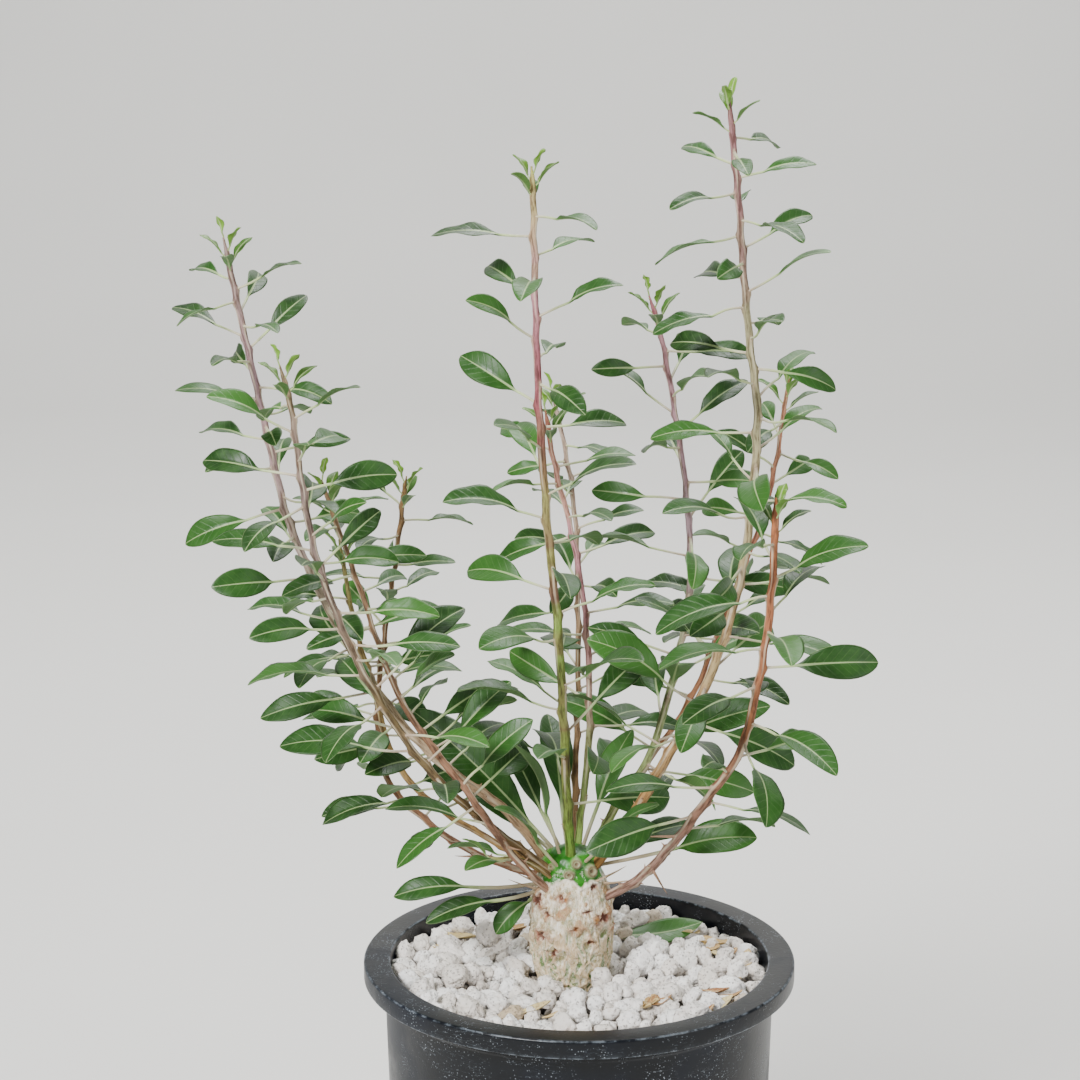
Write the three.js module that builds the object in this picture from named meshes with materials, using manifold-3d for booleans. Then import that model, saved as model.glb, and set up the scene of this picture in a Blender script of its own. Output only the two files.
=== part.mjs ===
// A young boojum tree in a round nursery pot.
// Millimetres, +Z up. The origin is the centre of the pot's underside, and the front of the
// plant faces -Y.
import * as THREE from "three";
import { mergeVertices } from "three/addons/utils/BufferGeometryUtils.js";
import Module from "manifold-3d";

const wasm = await Module();
wasm.setup();

// ---------------------------------------------------------------- driving dimensions

const pot = {
  rimRadius: 82.5, // outside of the rolled rim
  height: 165,
  baseRadius: 71, // outside of the foot
  shoulderRadius: 75.2, // outside of the wall, under the rim
  wall: 2,
  floor: 2.2,
  skirt: 7, // how far the rim's edge turns down
  corner: 0.8, // bevel on the rim's edges
  footCorner: 2.5,
};
const drain = { count: 5, radius: 5.5, inset: 7.5 }; // inset: clear floor between hole and wall
const gap = 0.3; // between pieces that rest against each other
const surface = pot.height - 9.5; // level that the pumice is filled to
const pumiceBed = { depth: 12, grain: 6.4, grains: 56, sunk: 1, wander: 1.2 };
const bigStones = { count: 10, radius: 7, lift: 1.5, fromWall: 10, firstTurn: 2.35 };

const trunk = { x: -3, y: 0, belly: 15.7, waist: 12.4, neck: 11.1, height: 54, buried: 22 };

const leafShape = { width: 0.43, stalkRadius: 0.55, thickness: 0.9, arch: 0.3, droop: 0.42 };
const golden = 137.5; // degrees from one leaf to the next up a shoot
const facing = 34; // how far a leaf tilts its face to the light, which comes from the front
const stemSides = 5;
const stemStep = 22; // length of one straight piece of stem
const tuft = { leaves: 6, height: 12, stalk: 3, small: 7, large: 13 };
const crowding = { foot: 1.15, tip: 0.7 }; // how gaps between nodes, and stalks, shrink up a shoot
const spine = { lowest: 24, spacing: 11, length: 15, radius: 0.6, climb: 10 };
const sampling = 5; // spacing of the points that stand for a leaf when looking for room
const touching = 3.7; // two leaves whose points come this near would cross

// Each shoot's route runs from inside the crown to its tip, with heights from the crown's top.
// foot and tip are its radii, bare is the length at its foot with no leaves, low and high are
// the lengths of its lowest and highest leaf blades, and phase is the compass angle of its
// first leaf.
const shoots = {
  left_outer: {
    route: [[-11, 2, -9], [-27, 4, 11], [-53, 8, 30], [-74, 12, 53], [-95, 16, 88],
      [-110, 18, 123], [-119, 18, 165], [-126, 16, 201], [-131, 14, 229]],
    foot: 2, tip: 1.1, bare: 61, spacing: 6, stalk: 15, low: 28, high: 17, phase: 222,
  },
  left_inner: {
    route: [[-8, -5, -11], [-30, -14, 9], [-50, -20, 29], [-66, -24, 51], [-81, -26, 78],
      [-91, -26, 103], [-98, -26, 129], [-104, -22, 171], [-108, -20, 187]],
    foot: 1.7, tip: 1, bare: 50, spacing: 6.6, stalk: 16, low: 28, high: 19, phase: 1,
  },
  left_front: {
    route: [[-8, -6, -20], [-24, -17, 0], [-39, -22, 24], [-54, -17, 42], [-69, 1, 60],
      [-82, 19, 91], [-98, 26, 136]],
    foot: 1.6, tip: 0.8, bare: 46, spacing: 8.2, stalk: 13, low: 26, high: 17, phase: 69,
    thorny: true,
  },
  left_back: {
    route: [[-8, 4, -16], [-29, 16, -14], [-45, 26, -10], [-61, 39, -3], [-76, 51, 10],
      [-80, 64, 39], [-74, 72, 85], [-68, 74, 128]],
    foot: 1.6, tip: 0.8, bare: 57, spacing: 7.6, stalk: 13, low: 25, high: 15, phase: 283,
    thorny: true,
  },
  left_middle: {
    route: [[-9, 0, -14], [-31, 6, -2], [-52, 15, 8], [-70, 28, 22], [-79, 38, 47],
      [-87, 43, 75], [-93, 44, 109]],
    foot: 1.5, tip: 0.8, bare: 52, spacing: 8, stalk: 13, low: 25, high: 16, phase: 346,
  },
  low_sprig: {
    route: [[-8, -7, -13], [-20, -11, -3], [-31, -14, -1], [-43, -18, -2]],
    foot: 1, tip: 0.7, bare: 17, spacing: 5, stalk: 9, low: 22, high: 20, phase: 95,
  },
  middle_front: {
    route: [[-3, -5, -6], [-5, -13, 23], [-6, -21, 51], [-9, -29, 97], [-13, -31, 139],
      [-16, -30, 187], [-17, -27, 231], [-18, -25, 258]],
    foot: 2, tip: 1.1, bare: 27, spacing: 9.2, stalk: 14, low: 28, high: 20, phase: 343,
  },
  middle: {
    route: [[-1, 4, -7], [2, 14, 18], [4, 21, 43], [3, 27, 76], [-2, 28, 111],
      [-9, 27, 139], [-13, 25, 163]],
    foot: 1.5, tip: 0.9, bare: 32, spacing: 8.4, stalk: 14, low: 27, high: 17, phase: 92,
  },
  middle_back: {
    route: [[-2, 6, -9], [-1, 32, 17], [0, 53, 47], [0, 68, 84], [-2, 75, 121],
      [-10, 80, 161]],
    foot: 1.4, tip: 0.8, bare: 45, spacing: 8.2, stalk: 13, low: 26, high: 15, phase: 274,
  },
  right_inner: {
    route: [[3, 3, -7], [12, 7, 9], [27, 13, 32], [37, 17, 67], [42, 18, 103],
      [38, 17, 147], [30, 13, 191], [25, 11, 208]],
    foot: 1.7, tip: 0.9, bare: 43, spacing: 7.8, stalk: 15, low: 28, high: 18, phase: 198,
  },
  right_tall: {
    route: [[4, -3, -10], [18, -10, 12], [30, -15, 35], [44, -19, 63], [55, -20, 96],
      [61, -20, 131], [63, -19, 167], [59, -18, 203], [55, -18, 246], [51, -18, 282]],
    foot: 2.1, tip: 1.1, bare: 61, spacing: 6.4, stalk: 15, low: 28, high: 18, phase: 88,
  },
  right_back: {
    route: [[3, 6, -10], [16, 24, 10], [31, 38, 26], [46, 50, 46], [62, 60, 85],
      [75, 62, 123], [82, 62, 169]],
    foot: 1.4, tip: 0.8, bare: 46, spacing: 8, stalk: 13, low: 26, high: 16, phase: 9,
  },
  right_outer: {
    route: [[4, -2, -23], [20, -12, -11], [32, -25, 6], [44, -40, 29], [56, -52, 53],
      [63, -58, 87], [66, -58, 115], [67, -55, 146]],
    foot: 1.9, tip: 1.3, bare: 62, spacing: 7.6, stalk: 14, low: 25, high: 29, phase: 68,
    thorny: true,
  },
};

// Long leaves that rise straight from the crown: where the stalk starts, as for a route, which
// way it points, how steeply it climbs, how far its blade is rolled about the stalk, then the
// lengths of stalk and blade and the width.
const crownLeaves = {
  left_strap: {
    foot: [-6, 6, -8], bearing: 162, climb: 44, roll: -55,
    stalk: 20, blade: 62, width: 17,
  },
  left_strap_2: {
    foot: [-6, 5, -10], bearing: 150, climb: 34, roll: -40,
    stalk: 19, blade: 46, width: 13,
  },
  left_hanging: {
    foot: [-11, 0, -16], bearing: 196, climb: -35, roll: -30,
    stalk: 11, blade: 17, width: 9,
  },
  left_low: {
    foot: [-10, -1, -14], bearing: 184, climb: -3, roll: -35,
    stalk: 34, blade: 27, width: 10,
  },
  left_low_2: {
    foot: [-9, -4, -14], bearing: 199, climb: -9, roll: -30,
    stalk: 27, blade: 25, width: 9,
  },
  left_upright: {
    foot: [-5, 6, -8], bearing: 138, climb: 52, roll: -30,
    stalk: 22, blade: 40, width: 12,
  },
  centre_upright: {
    foot: [-6, -4, -8], bearing: 205, climb: 72, roll: 0,
    stalk: 24, blade: 32, width: 11,
  },
  centre_front: {
    foot: [-6, -6, -9], bearing: 222, climb: 48, roll: -20,
    stalk: 20, blade: 28, width: 10,
  },
  front_right: {
    foot: [-1, -5, -8], bearing: 318, climb: 44, roll: 30,
    stalk: 22, blade: 28, width: 11,
  },
  right_upright: {
    foot: [0, 4, -7], bearing: 48, climb: 60, roll: 25,
    stalk: 22, blade: 32, width: 11,
  },
  right_low: {
    foot: [2, 1, -7], bearing: 20, climb: 14, roll: 35,
    stalk: 19, blade: 28, width: 11,
  },
  right_broad: {
    foot: [3, 0, -9], bearing: 345, climb: 17, roll: 45,
    stalk: 37, blade: 30, width: 15,
  },
  right_back_low: {
    foot: [2, 4, -9], bearing: 42, climb: 28, roll: 30,
    stalk: 25, blade: 30, width: 11,
  },
  back_upright: {
    foot: [-4, 6, -8], bearing: 100, climb: 48, roll: 0,
    stalk: 24, blade: 40, width: 13,
  },
};

const looseLeaves = { height: 4, climb: 4, thickness: 1.2 };
// Loose leaves on the pumice: the compass angle of each and how far out it lies, from 0 at the
// pot's axis to 1 at the wall, then its own bearing, length and width.
const fallenLeaves = {
  fallen_green_leaf: { around: 48, out: 0.88, bearing: 12, length: 36, width: 12 },
  dry_leaf_1: { around: 145, out: 0.93, bearing: 320, length: 20, width: 6 },
  dry_leaf_2: { around: 124, out: 0.74, bearing: 5, length: 14, width: 6 },
  dry_leaf_3: { around: 26, out: 0.93, bearing: 300, length: 17, width: 8 },
  dry_leaf_4: { around: 4, out: 0.97, bearing: 75, length: 13, width: 5 },
  dry_leaf_5: { around: 311, out: 0.66, bearing: 30, length: 12, width: 7 },
  dry_leaf_6: { around: 322, out: 1, bearing: 42, length: 20, width: 5 },
  dry_leaf_7: { around: 246, out: 0.7, bearing: 30, length: 17, width: 4 },
};

const colours = {
  pot: 0x15191f,
  growing_mix: 0x4a3a2c,
  pumice: 0xd8d4cd,
  trunk: 0xc9bfa9,
  stem: 0x8a6f52,
  leaf: 0x3f6b2f,
  dry: 0xb99a62,
};

// ---------------------------------------------------------------- helpers

const up = new THREE.Vector3(0, 0, 1);
const degrees = THREE.MathUtils.degToRad;
const lerp = THREE.MathUtils.lerp;

// Park and Miller's generator, so that every build places the same leaves.
let seed = 20261;
function random() {
  seed = (seed * 16807) % 2147483647;
  return seed / 2147483647;
}

function vary(spread) {
  return (random() - 0.5) * 2 * spread;
}

function material(colour, roughness) {
  return new THREE.MeshStandardMaterial({ color: colour, roughness, metalness: 0 });
}

// three.js geometry to a solid that can be joined and cut.
function solid(geometry) {
  const bare = geometry.clone();
  for (const name of ["normal", "uv"]) bare.deleteAttribute(name);
  const merged = mergeVertices(bare, 1e-4);
  const mesh = new wasm.Mesh({
    numProp: 3,
    vertProperties: merged.attributes.position.array,
    triVerts: new Uint32Array(merged.index.array),
  });
  return new wasm.Manifold(mesh);
}

// The largest body of a solid: cutting can leave crumbs behind.
function largest(shape) {
  return shape.decompose().reduce((a, b) => (b.volume() > a.volume() ? b : a));
}

function toGeometry(shape) {
  const mesh = shape.getMesh();
  const positions = new THREE.BufferAttribute(mesh.vertProperties, mesh.numProp);
  const geometry = new THREE.BufferGeometry();
  geometry.setAttribute("position", positions);
  geometry.setIndex(new THREE.BufferAttribute(mesh.triVerts, 1));
  geometry.computeVertexNormals();
  return geometry;
}

// Bends a cone or cylinder of radius 1 and height 1 along a line. frame(share) gives the
// centre, the sideways and upright directions, and the half sizes along both.
function bend(geometry, frame) {
  const at = geometry.attributes.position;
  for (let i = 0; i < at.count; i++) {
    const { centre, side, rise, wide, thick } = frame(at.getY(i) + 0.5);
    const reach = Math.hypot(at.getX(i), at.getZ(i)) > 1e-6 ? 1 : 0;
    const around = Math.atan2(at.getX(i), at.getZ(i));
    const point = centre.clone();
    point.addScaledVector(side, Math.sin(around) * wide * reach);
    point.addScaledVector(rise, Math.cos(around) * thick * reach);
    at.setXYZ(i, point.x, point.y, point.z);
  }
  return geometry;
}

// A round profile turned about the pot's axis.
function turned(profile, segments) {
  const points = profile.map(([radius, z]) => new THREE.Vector2(radius, z));
  return new THREE.LatheGeometry(points, segments).rotateX(Math.PI / 2);
}

const root = new THREE.Group();

function add(name, geometry, finish) {
  const mesh = new THREE.Mesh(geometry, finish);
  mesh.name = name;
  root.add(mesh);
}

// ---------------------------------------------------------------- pot

// Outside radius of the pot's wall at a height.
function wallRadius(z) {
  return lerp(pot.baseRadius, pot.shoulderRadius, z / pot.height);
}

function makePot() {
  const { rimRadius, height, wall, corner, skirt, footCorner } = pot;
  const flange = height - wall;
  const profile = [
    [0, 0],
    [pot.baseRadius - footCorner, 0],
    [wallRadius(footCorner), footCorner],
    [wallRadius(flange), flange],
    [rimRadius - wall, flange],
    [rimRadius - wall, height - skirt],
    [rimRadius, height - skirt],
    [rimRadius, height - corner],
    [rimRadius - corner, height],
    [wallRadius(height) - wall - corner, height],
    [wallRadius(height) - 1.6 * wall, height - corner],
    [wallRadius(flange) - wall, height - 2 * wall],
    [wallRadius(pot.floor) - wall, pot.floor],
    [0, pot.floor],
  ];
  let shell = solid(turned(profile, 48));
  const circle = pot.baseRadius - pot.wall - drain.inset - drain.radius;
  for (let i = 0; i < drain.count; i++) {
    const angle = (i * 2 * Math.PI) / drain.count;
    const hole = new THREE.CylinderGeometry(drain.radius, drain.radius, 4 * pot.floor, 12);
    hole.rotateX(Math.PI / 2);
    hole.translate(circle * Math.cos(angle), circle * Math.sin(angle), 0);
    shell = shell.subtract(solid(hole));
  }
  add("pot", toGeometry(shell), material(colours.pot, 0.45));
}

// ---------------------------------------------------------------- trunk

// The trunk's outline, grown outwards by spare: a barrel of bark under a green crown.
function trunkProfile(spare) {
  const { belly, waist, neck, height, buried } = trunk;
  const outline = [
    [waist * 0.45, -buried],
    [waist * 0.8, -0.72 * buried],
    [waist * 0.92, -0.3 * buried],
    [waist, 0],
    [lerp(waist, belly, 0.7), 0.15 * height],
    [belly, 0.3 * height],
    [belly, 0.54 * height],
    [lerp(belly, neck, 0.25), 0.68 * height],
    [lerp(belly, neck, 0.62), 0.77 * height],
    [neck, 0.8 * height],
    [neck * 0.97, 0.86 * height],
    [neck * 0.84, 0.93 * height],
    [neck * 0.5, 0.985 * height],
  ];
  const bottom = surface - buried - spare;
  const top = surface + height + spare;
  const turnedOutline = outline.map(([radius, z]) => [radius + spare, surface + z]);
  return [[0, bottom], ...turnedOutline, [0, top]];
}

function trunkShape(spare) {
  const shape = solid(turned(trunkProfile(spare), 24));
  return shape.translate([trunk.x, trunk.y, 0]);
}

const trunkRoom = trunkShape(gap);

// ---------------------------------------------------------------- shoots

// Where leaves and stems already are: sample points that a new leaf has to miss.
const placed = [];

function isClear(points, owner) {
  return points.every((point) =>
    placed.every(
      (other) =>
        (other.owner === owner && (point.stalk || other.stem)) ||
        other.at.distanceTo(point.at) > touching,
    ),
  );
}

// A leaf's own directions: out along the stalk, side across the blade, rise through it. roll
// twists the blade about the stalk.
function leafFrame(bearing, climb, stem, roll = 0) {
  const out = new THREE.Vector3(Math.cos(bearing), Math.sin(bearing), 0);
  if (stem) out.addScaledVector(stem, -0.7 * out.dot(stem));
  out.normalize().multiplyScalar(Math.cos(climb));
  out.addScaledVector(up, Math.sin(climb)).normalize();
  const side = new THREE.Vector3().crossVectors(out, up).normalize().applyAxisAngle(out, roll);
  const rise = new THREE.Vector3().crossVectors(side, out);
  return { out, side, rise };
}

// A point on the leaf's midrib. share is below 0 on the stalk and from 0 to 1 on the blade.
function midrib(leaf, share) {
  const along = share < 0 ? leaf.stalk * (1 + share) : leaf.stalk + leaf.blade * share;
  const bow = Math.max(share, 0);
  const lift = leaf.blade * (leafShape.arch * bow - leafShape.droop * bow * bow);
  return leaf.foot.clone().addScaledVector(leaf.out, along).addScaledVector(leaf.rise, lift);
}

// Points over a leaf that stand for it in isClear, no further apart than sampling.
function leafSamples(leaf) {
  const samples = [-0.5, -0.2].map((share) => ({ at: midrib(leaf, share), stalk: true }));
  const rows = Math.ceil(leaf.blade / sampling);
  const columns = Math.ceil(leaf.width / sampling);
  for (let row = 0; row <= rows; row++) {
    const half = 0.5 * leaf.width * Math.sin(Math.PI * (0.06 + (0.9 * row) / rows));
    for (let column = 0; column <= columns; column++) {
      const across = half * ((2 * column) / columns - 1);
      const at = midrib(leaf, row / rows).addScaledVector(leaf.side, across);
      samples.push({ at, stalk: false });
    }
  }
  return samples;
}

// One leaf and its stalk: a three-sided cone, pinched at the stalk and widest mid-blade.
function leafGeometry(leaf) {
  const { stalkRadius, thickness } = leafShape;
  const rows = [
    { share: -1, wide: stalkRadius, thick: stalkRadius },
    { share: 0, wide: stalkRadius, thick: stalkRadius },
    { share: 0.42, wide: leaf.width / Math.sqrt(3), thick: thickness },
    { share: 1, wide: 0, thick: 0 },
  ];
  const cone = new THREE.ConeGeometry(1, 1, 3, rows.length - 1, false, Math.PI);
  return bend(cone, (share) => {
    const row = rows[Math.round(share * (rows.length - 1))];
    const { side, rise } = leaf;
    return { centre: midrib(leaf, row.share), side, rise, wide: row.wide, thick: row.thick };
  });
}

// Turns a leaf about its shoot until it is clear of everything, and gives up after a turn.
function place(leaf, stem, owner) {
  for (let turn = 0; turn < 16; turn++) {
    const way = turn % 2 ? 1 : -1;
    const bearing = leaf.bearing + way * Math.ceil(turn / 2) * 22;
    const frame = leafFrame(degrees(bearing), degrees(leaf.climb), stem, degrees(leaf.roll));
    Object.assign(leaf, frame);
    const samples = leafSamples(leaf);
    if (isClear(samples, owner)) {
      placed.push(...samples.map((sample) => ({ ...sample, owner })));
      return true;
    }
  }
  return false;
}

// The nodes up a shoot where leaves grow: a spiral, with a tuft of small ones at the tip.
function leafNodes(shoot, length) {
  const nodes = [];
  let bearing = shoot.phase;
  let at = shoot.bare;
  while (at < length - tuft.height) {
    const share = (at - shoot.bare) / (length - shoot.bare);
    const crowd = lerp(crowding.foot, crowding.tip, share);
    const blade = lerp(shoot.low, shoot.high, share) * (1 + vary(0.16));
    const stalk = shoot.stalk * crowd * (1 + vary(0.2));
    const roll = facing * Math.cos(degrees(bearing)) + vary(36);
    nodes.push({ at, bearing, blade, stalk, climb: 10 + vary(24), roll });
    bearing += golden;
    at += shoot.spacing * crowd;
  }
  for (let i = 0; i < tuft.leaves; i++) {
    const share = i / (tuft.leaves - 1);
    const blade = lerp(tuft.large, tuft.small, share);
    const at = length - tuft.height * (1 - share) - 1;
    nodes.push({ at, bearing, blade, stalk: tuft.stalk, climb: lerp(35, 72, share), roll: 0 });
    bearing += golden;
  }
  return nodes;
}

// A point whose height is given from the crown's top.
function onCrown([x, y, z]) {
  return new THREE.Vector3(x, y, surface + trunk.height + z);
}

function routeOf(shoot) {
  const points = shoot.route.map(onCrown);
  return new THREE.CatmullRomCurve3(points, false, "catmullrom", 0.5);
}

function stemGeometry(shoot, curve) {
  const steps = Math.round(curve.getLength() / stemStep);
  const frames = curve.computeFrenetFrames(steps);
  const tube = new THREE.CylinderGeometry(1, 1, 1, stemSides, steps);
  return bend(tube, (share) => {
    const step = Math.round(share * steps);
    const radius = lerp(shoot.foot, shoot.tip, share);
    return {
      centre: curve.getPointAt(step / steps),
      side: frames.binormals[step],
      rise: frames.normals[step],
      wide: radius,
      thick: radius,
    };
  });
}

// The thorns that old leaf stalks leave behind on a shoot's bare foot.
function spineSolids(shoot, curve, length) {
  const solids = [];
  let bearing = shoot.phase + 90;
  const { radius } = spine;
  for (let at = spine.lowest; at < shoot.bare; at += spine.spacing) {
    const foot = curve.getPointAt(at / length);
    const stem = curve.getTangentAt(at / length);
    const { out, side, rise } = leafFrame(degrees(bearing), degrees(spine.climb), stem);
    const thorn = { foot, out, rise, side, stalk: spine.length * (1 + vary(0.25)), blade: 0 };
    bearing += golden;
    const samples = [-0.65, -0.3, 0].map((share) => ({ at: midrib(thorn, share), stalk: true }));
    if (!isClear(samples, shoot.name)) continue;
    placed.push(...samples.map((sample) => ({ ...sample, owner: shoot.name })));
    const cone = bend(new THREE.ConeGeometry(1, 1, 3, 1), (share) => {
      return { centre: midrib(thorn, share - 1), side, rise, wide: radius, thick: radius };
    });
    solids.push(solid(cone));
  }
  return solids;
}

function makeShoots() {
  const grown = Object.entries(shoots).map(([name, shoot]) => {
    shoot.name = name;
    return { shoot, curve: routeOf(shoot) };
  });
  for (const { shoot, curve } of grown) {
    const spots = curve.getSpacedPoints(Math.round(curve.getLength() / touching));
    placed.push(...spots.map((at) => ({ at, stem: true, owner: shoot.name })));
  }
  for (const [name, spec] of Object.entries(crownLeaves)) {
    const leaf = { ...spec, foot: onCrown(spec.foot) };
    const { bearing, climb, roll } = spec;
    Object.assign(leaf, leafFrame(degrees(bearing), degrees(climb), null, degrees(roll)));
    placed.push(...leafSamples(leaf).map((sample) => ({ ...sample, owner: name })));
    const shape = largest(solid(leafGeometry(leaf)).subtract(trunkRoom));
    add(`crown_leaf_${name}`, toGeometry(shape), material(colours.leaf, 0.5));
  }
  for (const { shoot, curve } of grown) {
    const length = curve.getLength();
    const solids = [solid(stemGeometry(shoot, curve))];
    if (shoot.thorny) solids.push(...spineSolids(shoot, curve, length));
    for (const node of leafNodes(shoot, length)) {
      const leaf = { ...node, foot: curve.getPointAt(node.at / length) };
      leaf.width = leaf.blade * leafShape.width * (1 + vary(0.12));
      const stem = curve.getTangentAt(node.at / length);
      if (place(leaf, stem, shoot.name)) solids.push(solid(leafGeometry(leaf)));
    }
    const shape = largest(wasm.Manifold.union(solids).subtract(trunkRoom));
    add(`shoot_${shoot.name}`, toGeometry(shape), material(colours.stem, 0.6));
  }
}

// ---------------------------------------------------------------- soil and pumice

// Inside radius of the pot at a height, less the gap.
function inside(z) {
  return wallRadius(z) - pot.wall - gap;
}

const bedRadius = inside(surface);

// A drum that fills the pot between two heights.
function drum(low, high) {
  return solid(turned([[0, low], [inside(low), low], [inside(high), high], [0, high]], 48));
}

// A stone is a faceted ball, squashed and turned at random. spare grows it all round.
function stoneGeometry(radius, spare = 0) {
  const ball = new THREE.IcosahedronGeometry(1);
  const squash = [1 + vary(0.15), 0.85 + vary(0.12), 0.75 + vary(0.1)];
  ball.scale(...squash.map((share) => share * radius + spare));
  return ball.rotateX(random() * 3).rotateZ(random() * 6);
}

// A point of a sunflower spiral that covers the bed evenly.
function spiralPoint(i, count, reach) {
  const radius = reach * Math.sqrt((i + 0.5) / count);
  const angle = degrees(golden * i);
  return [radius * Math.cos(angle), radius * Math.sin(angle)];
}

// A loose leaf lies flat on the stones. spare grows it all round, for the room it needs.
function looseLeaf(spec, spare) {
  const away = spec.out * (bedRadius - spec.length / 2);
  const x = away * Math.cos(degrees(spec.around));
  const y = away * Math.sin(degrees(spec.around));
  const foot = new THREE.Vector3(x, y, surface + looseLeaves.height);
  const leaf = { foot, stalk: 0, blade: spec.length + 2 * spare };
  Object.assign(leaf, leafFrame(degrees(spec.bearing), degrees(looseLeaves.climb), null));
  leaf.foot.addScaledVector(leaf.out, -0.5 * leaf.blade);
  const { side, rise } = leaf;
  const halfWidths = [0.3, 0.5, 0.4, 0];
  const rows = halfWidths.length - 1;
  return bend(new THREE.ConeGeometry(1, 1, 4, rows), (share) => {
    const row = Math.round(share * rows);
    const wide = halfWidths[row] * spec.width + spare;
    const thick = (row < rows ? looseLeaves.thickness / 2 : 0) + spare;
    return { centre: midrib(leaf, share), side, rise, wide, thick };
  });
}

function makeFilling() {
  const mixTop = surface - pumiceBed.depth;
  const mix = drum(pot.floor + gap, mixTop - gap).subtract(trunkRoom);
  add("growing_mix", toGeometry(mix), material(colours.growing_mix, 0.95));

  const grainLevel = surface - pumiceBed.sunk;
  const grains = [drum(mixTop, grainLevel)];
  for (let i = 0; i < pumiceBed.grains; i++) {
    const stone = stoneGeometry(pumiceBed.grain * (1 + vary(0.2)));
    const [x, y] = spiralPoint(i, pumiceBed.grains, bedRadius - 0.3 * pumiceBed.grain);
    grains.push(solid(stone.translate(x, y, grainLevel + vary(pumiceBed.wander))));
  }
  let bed = wasm.Manifold.union(grains).intersect(drum(mixTop, pot.height)).subtract(trunkRoom);
  const leafRooms = [];
  for (const [name, spec] of Object.entries(fallenLeaves)) {
    const room = solid(looseLeaf(spec, gap));
    leafRooms.push(room);
    bed = bed.subtract(room);
    const finish = material(name.startsWith("dry") ? colours.dry : colours.leaf, 0.7);
    const shape = solid(looseLeaf(spec, 0)).subtract(trunkRoom);
    add(name, toGeometry(shape), finish);
  }
  for (let i = 0; i < bigStones.count; i++) {
    const radius = bigStones.radius * (1 + vary(0.12));
    const { count, lift, fromWall, firstTurn } = bigStones;
    const [x, y] = spiralPoint(i + firstTurn, count + firstTurn, bedRadius - fromWall);
    const beforeStone = seed;
    const room = stoneGeometry(radius, 1.3 * gap).translate(x, y, surface + lift);
    seed = beforeStone; // the stone takes the same shape as its room
    const stone = stoneGeometry(radius).translate(x, y, surface + lift);
    bed = bed.subtract(solid(room));
    let shape = solid(stone).subtract(trunkRoom);
    for (const leafRoom of leafRooms) shape = shape.subtract(leafRoom);
    add(`pumice_stone_${i + 1}`, toGeometry(largest(shape)), material(colours.pumice, 0.95));
  }
  add("pumice_topping", toGeometry(largest(bed)), material(colours.pumice, 0.95));
}

// ---------------------------------------------------------------- assembly

makePot();
add("trunk", toGeometry(trunkShape(0)), material(colours.trunk, 0.8));
makeShoots();
makeFilling();

export default root;
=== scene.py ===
# %% [markdown]
# # A potted boojum tree
# This lesson builds the visible surfaces of a young boojum tree in a round nursery pot, round a
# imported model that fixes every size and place. The tree is a barrel of pale bark under a green
# crown, with twelve leafy shoots, and the pot is topped with white pumice. Everything below is
# worked out in millimetres and turned to metres when a mesh is made.

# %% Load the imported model
import functools
import math
import bmesh
import bpy
import numpy as np
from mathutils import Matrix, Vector, noise


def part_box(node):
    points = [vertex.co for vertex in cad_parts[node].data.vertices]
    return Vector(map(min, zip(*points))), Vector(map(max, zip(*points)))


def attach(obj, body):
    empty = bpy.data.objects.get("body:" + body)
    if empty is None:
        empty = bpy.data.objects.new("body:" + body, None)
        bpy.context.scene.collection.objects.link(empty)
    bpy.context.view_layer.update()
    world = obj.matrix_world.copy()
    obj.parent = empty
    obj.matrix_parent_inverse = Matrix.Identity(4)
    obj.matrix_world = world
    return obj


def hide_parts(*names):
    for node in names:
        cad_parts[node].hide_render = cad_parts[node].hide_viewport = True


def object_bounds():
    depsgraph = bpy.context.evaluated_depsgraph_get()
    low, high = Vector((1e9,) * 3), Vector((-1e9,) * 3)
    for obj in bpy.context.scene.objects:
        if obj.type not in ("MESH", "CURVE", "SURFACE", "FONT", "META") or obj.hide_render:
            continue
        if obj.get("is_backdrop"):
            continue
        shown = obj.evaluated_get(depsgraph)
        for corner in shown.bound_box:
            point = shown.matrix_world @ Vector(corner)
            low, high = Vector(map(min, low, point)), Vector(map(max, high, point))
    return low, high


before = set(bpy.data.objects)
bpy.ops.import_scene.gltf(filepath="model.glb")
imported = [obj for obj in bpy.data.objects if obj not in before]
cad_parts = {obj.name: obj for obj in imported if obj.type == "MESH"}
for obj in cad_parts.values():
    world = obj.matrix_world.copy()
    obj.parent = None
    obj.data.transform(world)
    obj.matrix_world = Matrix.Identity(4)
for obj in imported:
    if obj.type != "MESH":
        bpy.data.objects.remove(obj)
cad_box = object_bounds()
MM = 0.001


def box_mm(node):
    """A CAD node's lowest and highest corners, in millimetres."""
    return [np.array(corner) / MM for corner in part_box(node)]


pot_low, pot_high = box_mm("pot")
trunk_low, trunk_high = box_mm("trunk")
print("pot height", round(pot_high[2], 1), "mm, trunk top", round(trunk_high[2], 1), "mm")

# %% [markdown]
# ## Camera
# The camera looks slightly down at the plant, far enough away that its verticals stay nearly
# parallel. A long lens keeps the shoots from fanning out, as it does in a portrait.

# %% Camera
camera_data = bpy.data.cameras.new("camera")
camera_data.lens = 87.07
camera_data.sensor_width = 36
camera = bpy.data.objects.new("camera", camera_data)
camera.location = (-0.015, -0.944, 0.540)
camera.rotation_euler = (math.radians(77.35), 0, 0)
bpy.context.scene.collection.objects.link(camera)
bpy.context.scene.camera = camera
print("camera", tuple(round(c, 3) for c in camera.location))

# %% [markdown]
# ## Gathering a mesh
# Leaves, petioles, stems and thorns are all tubes: rows of points round a line, closed at both
# ends. A gatherer joins many tubes into one mesh and keeps marks on the points, such as how far
# each lies from a leaf's midrib, so that the materials can paint by them.

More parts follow.
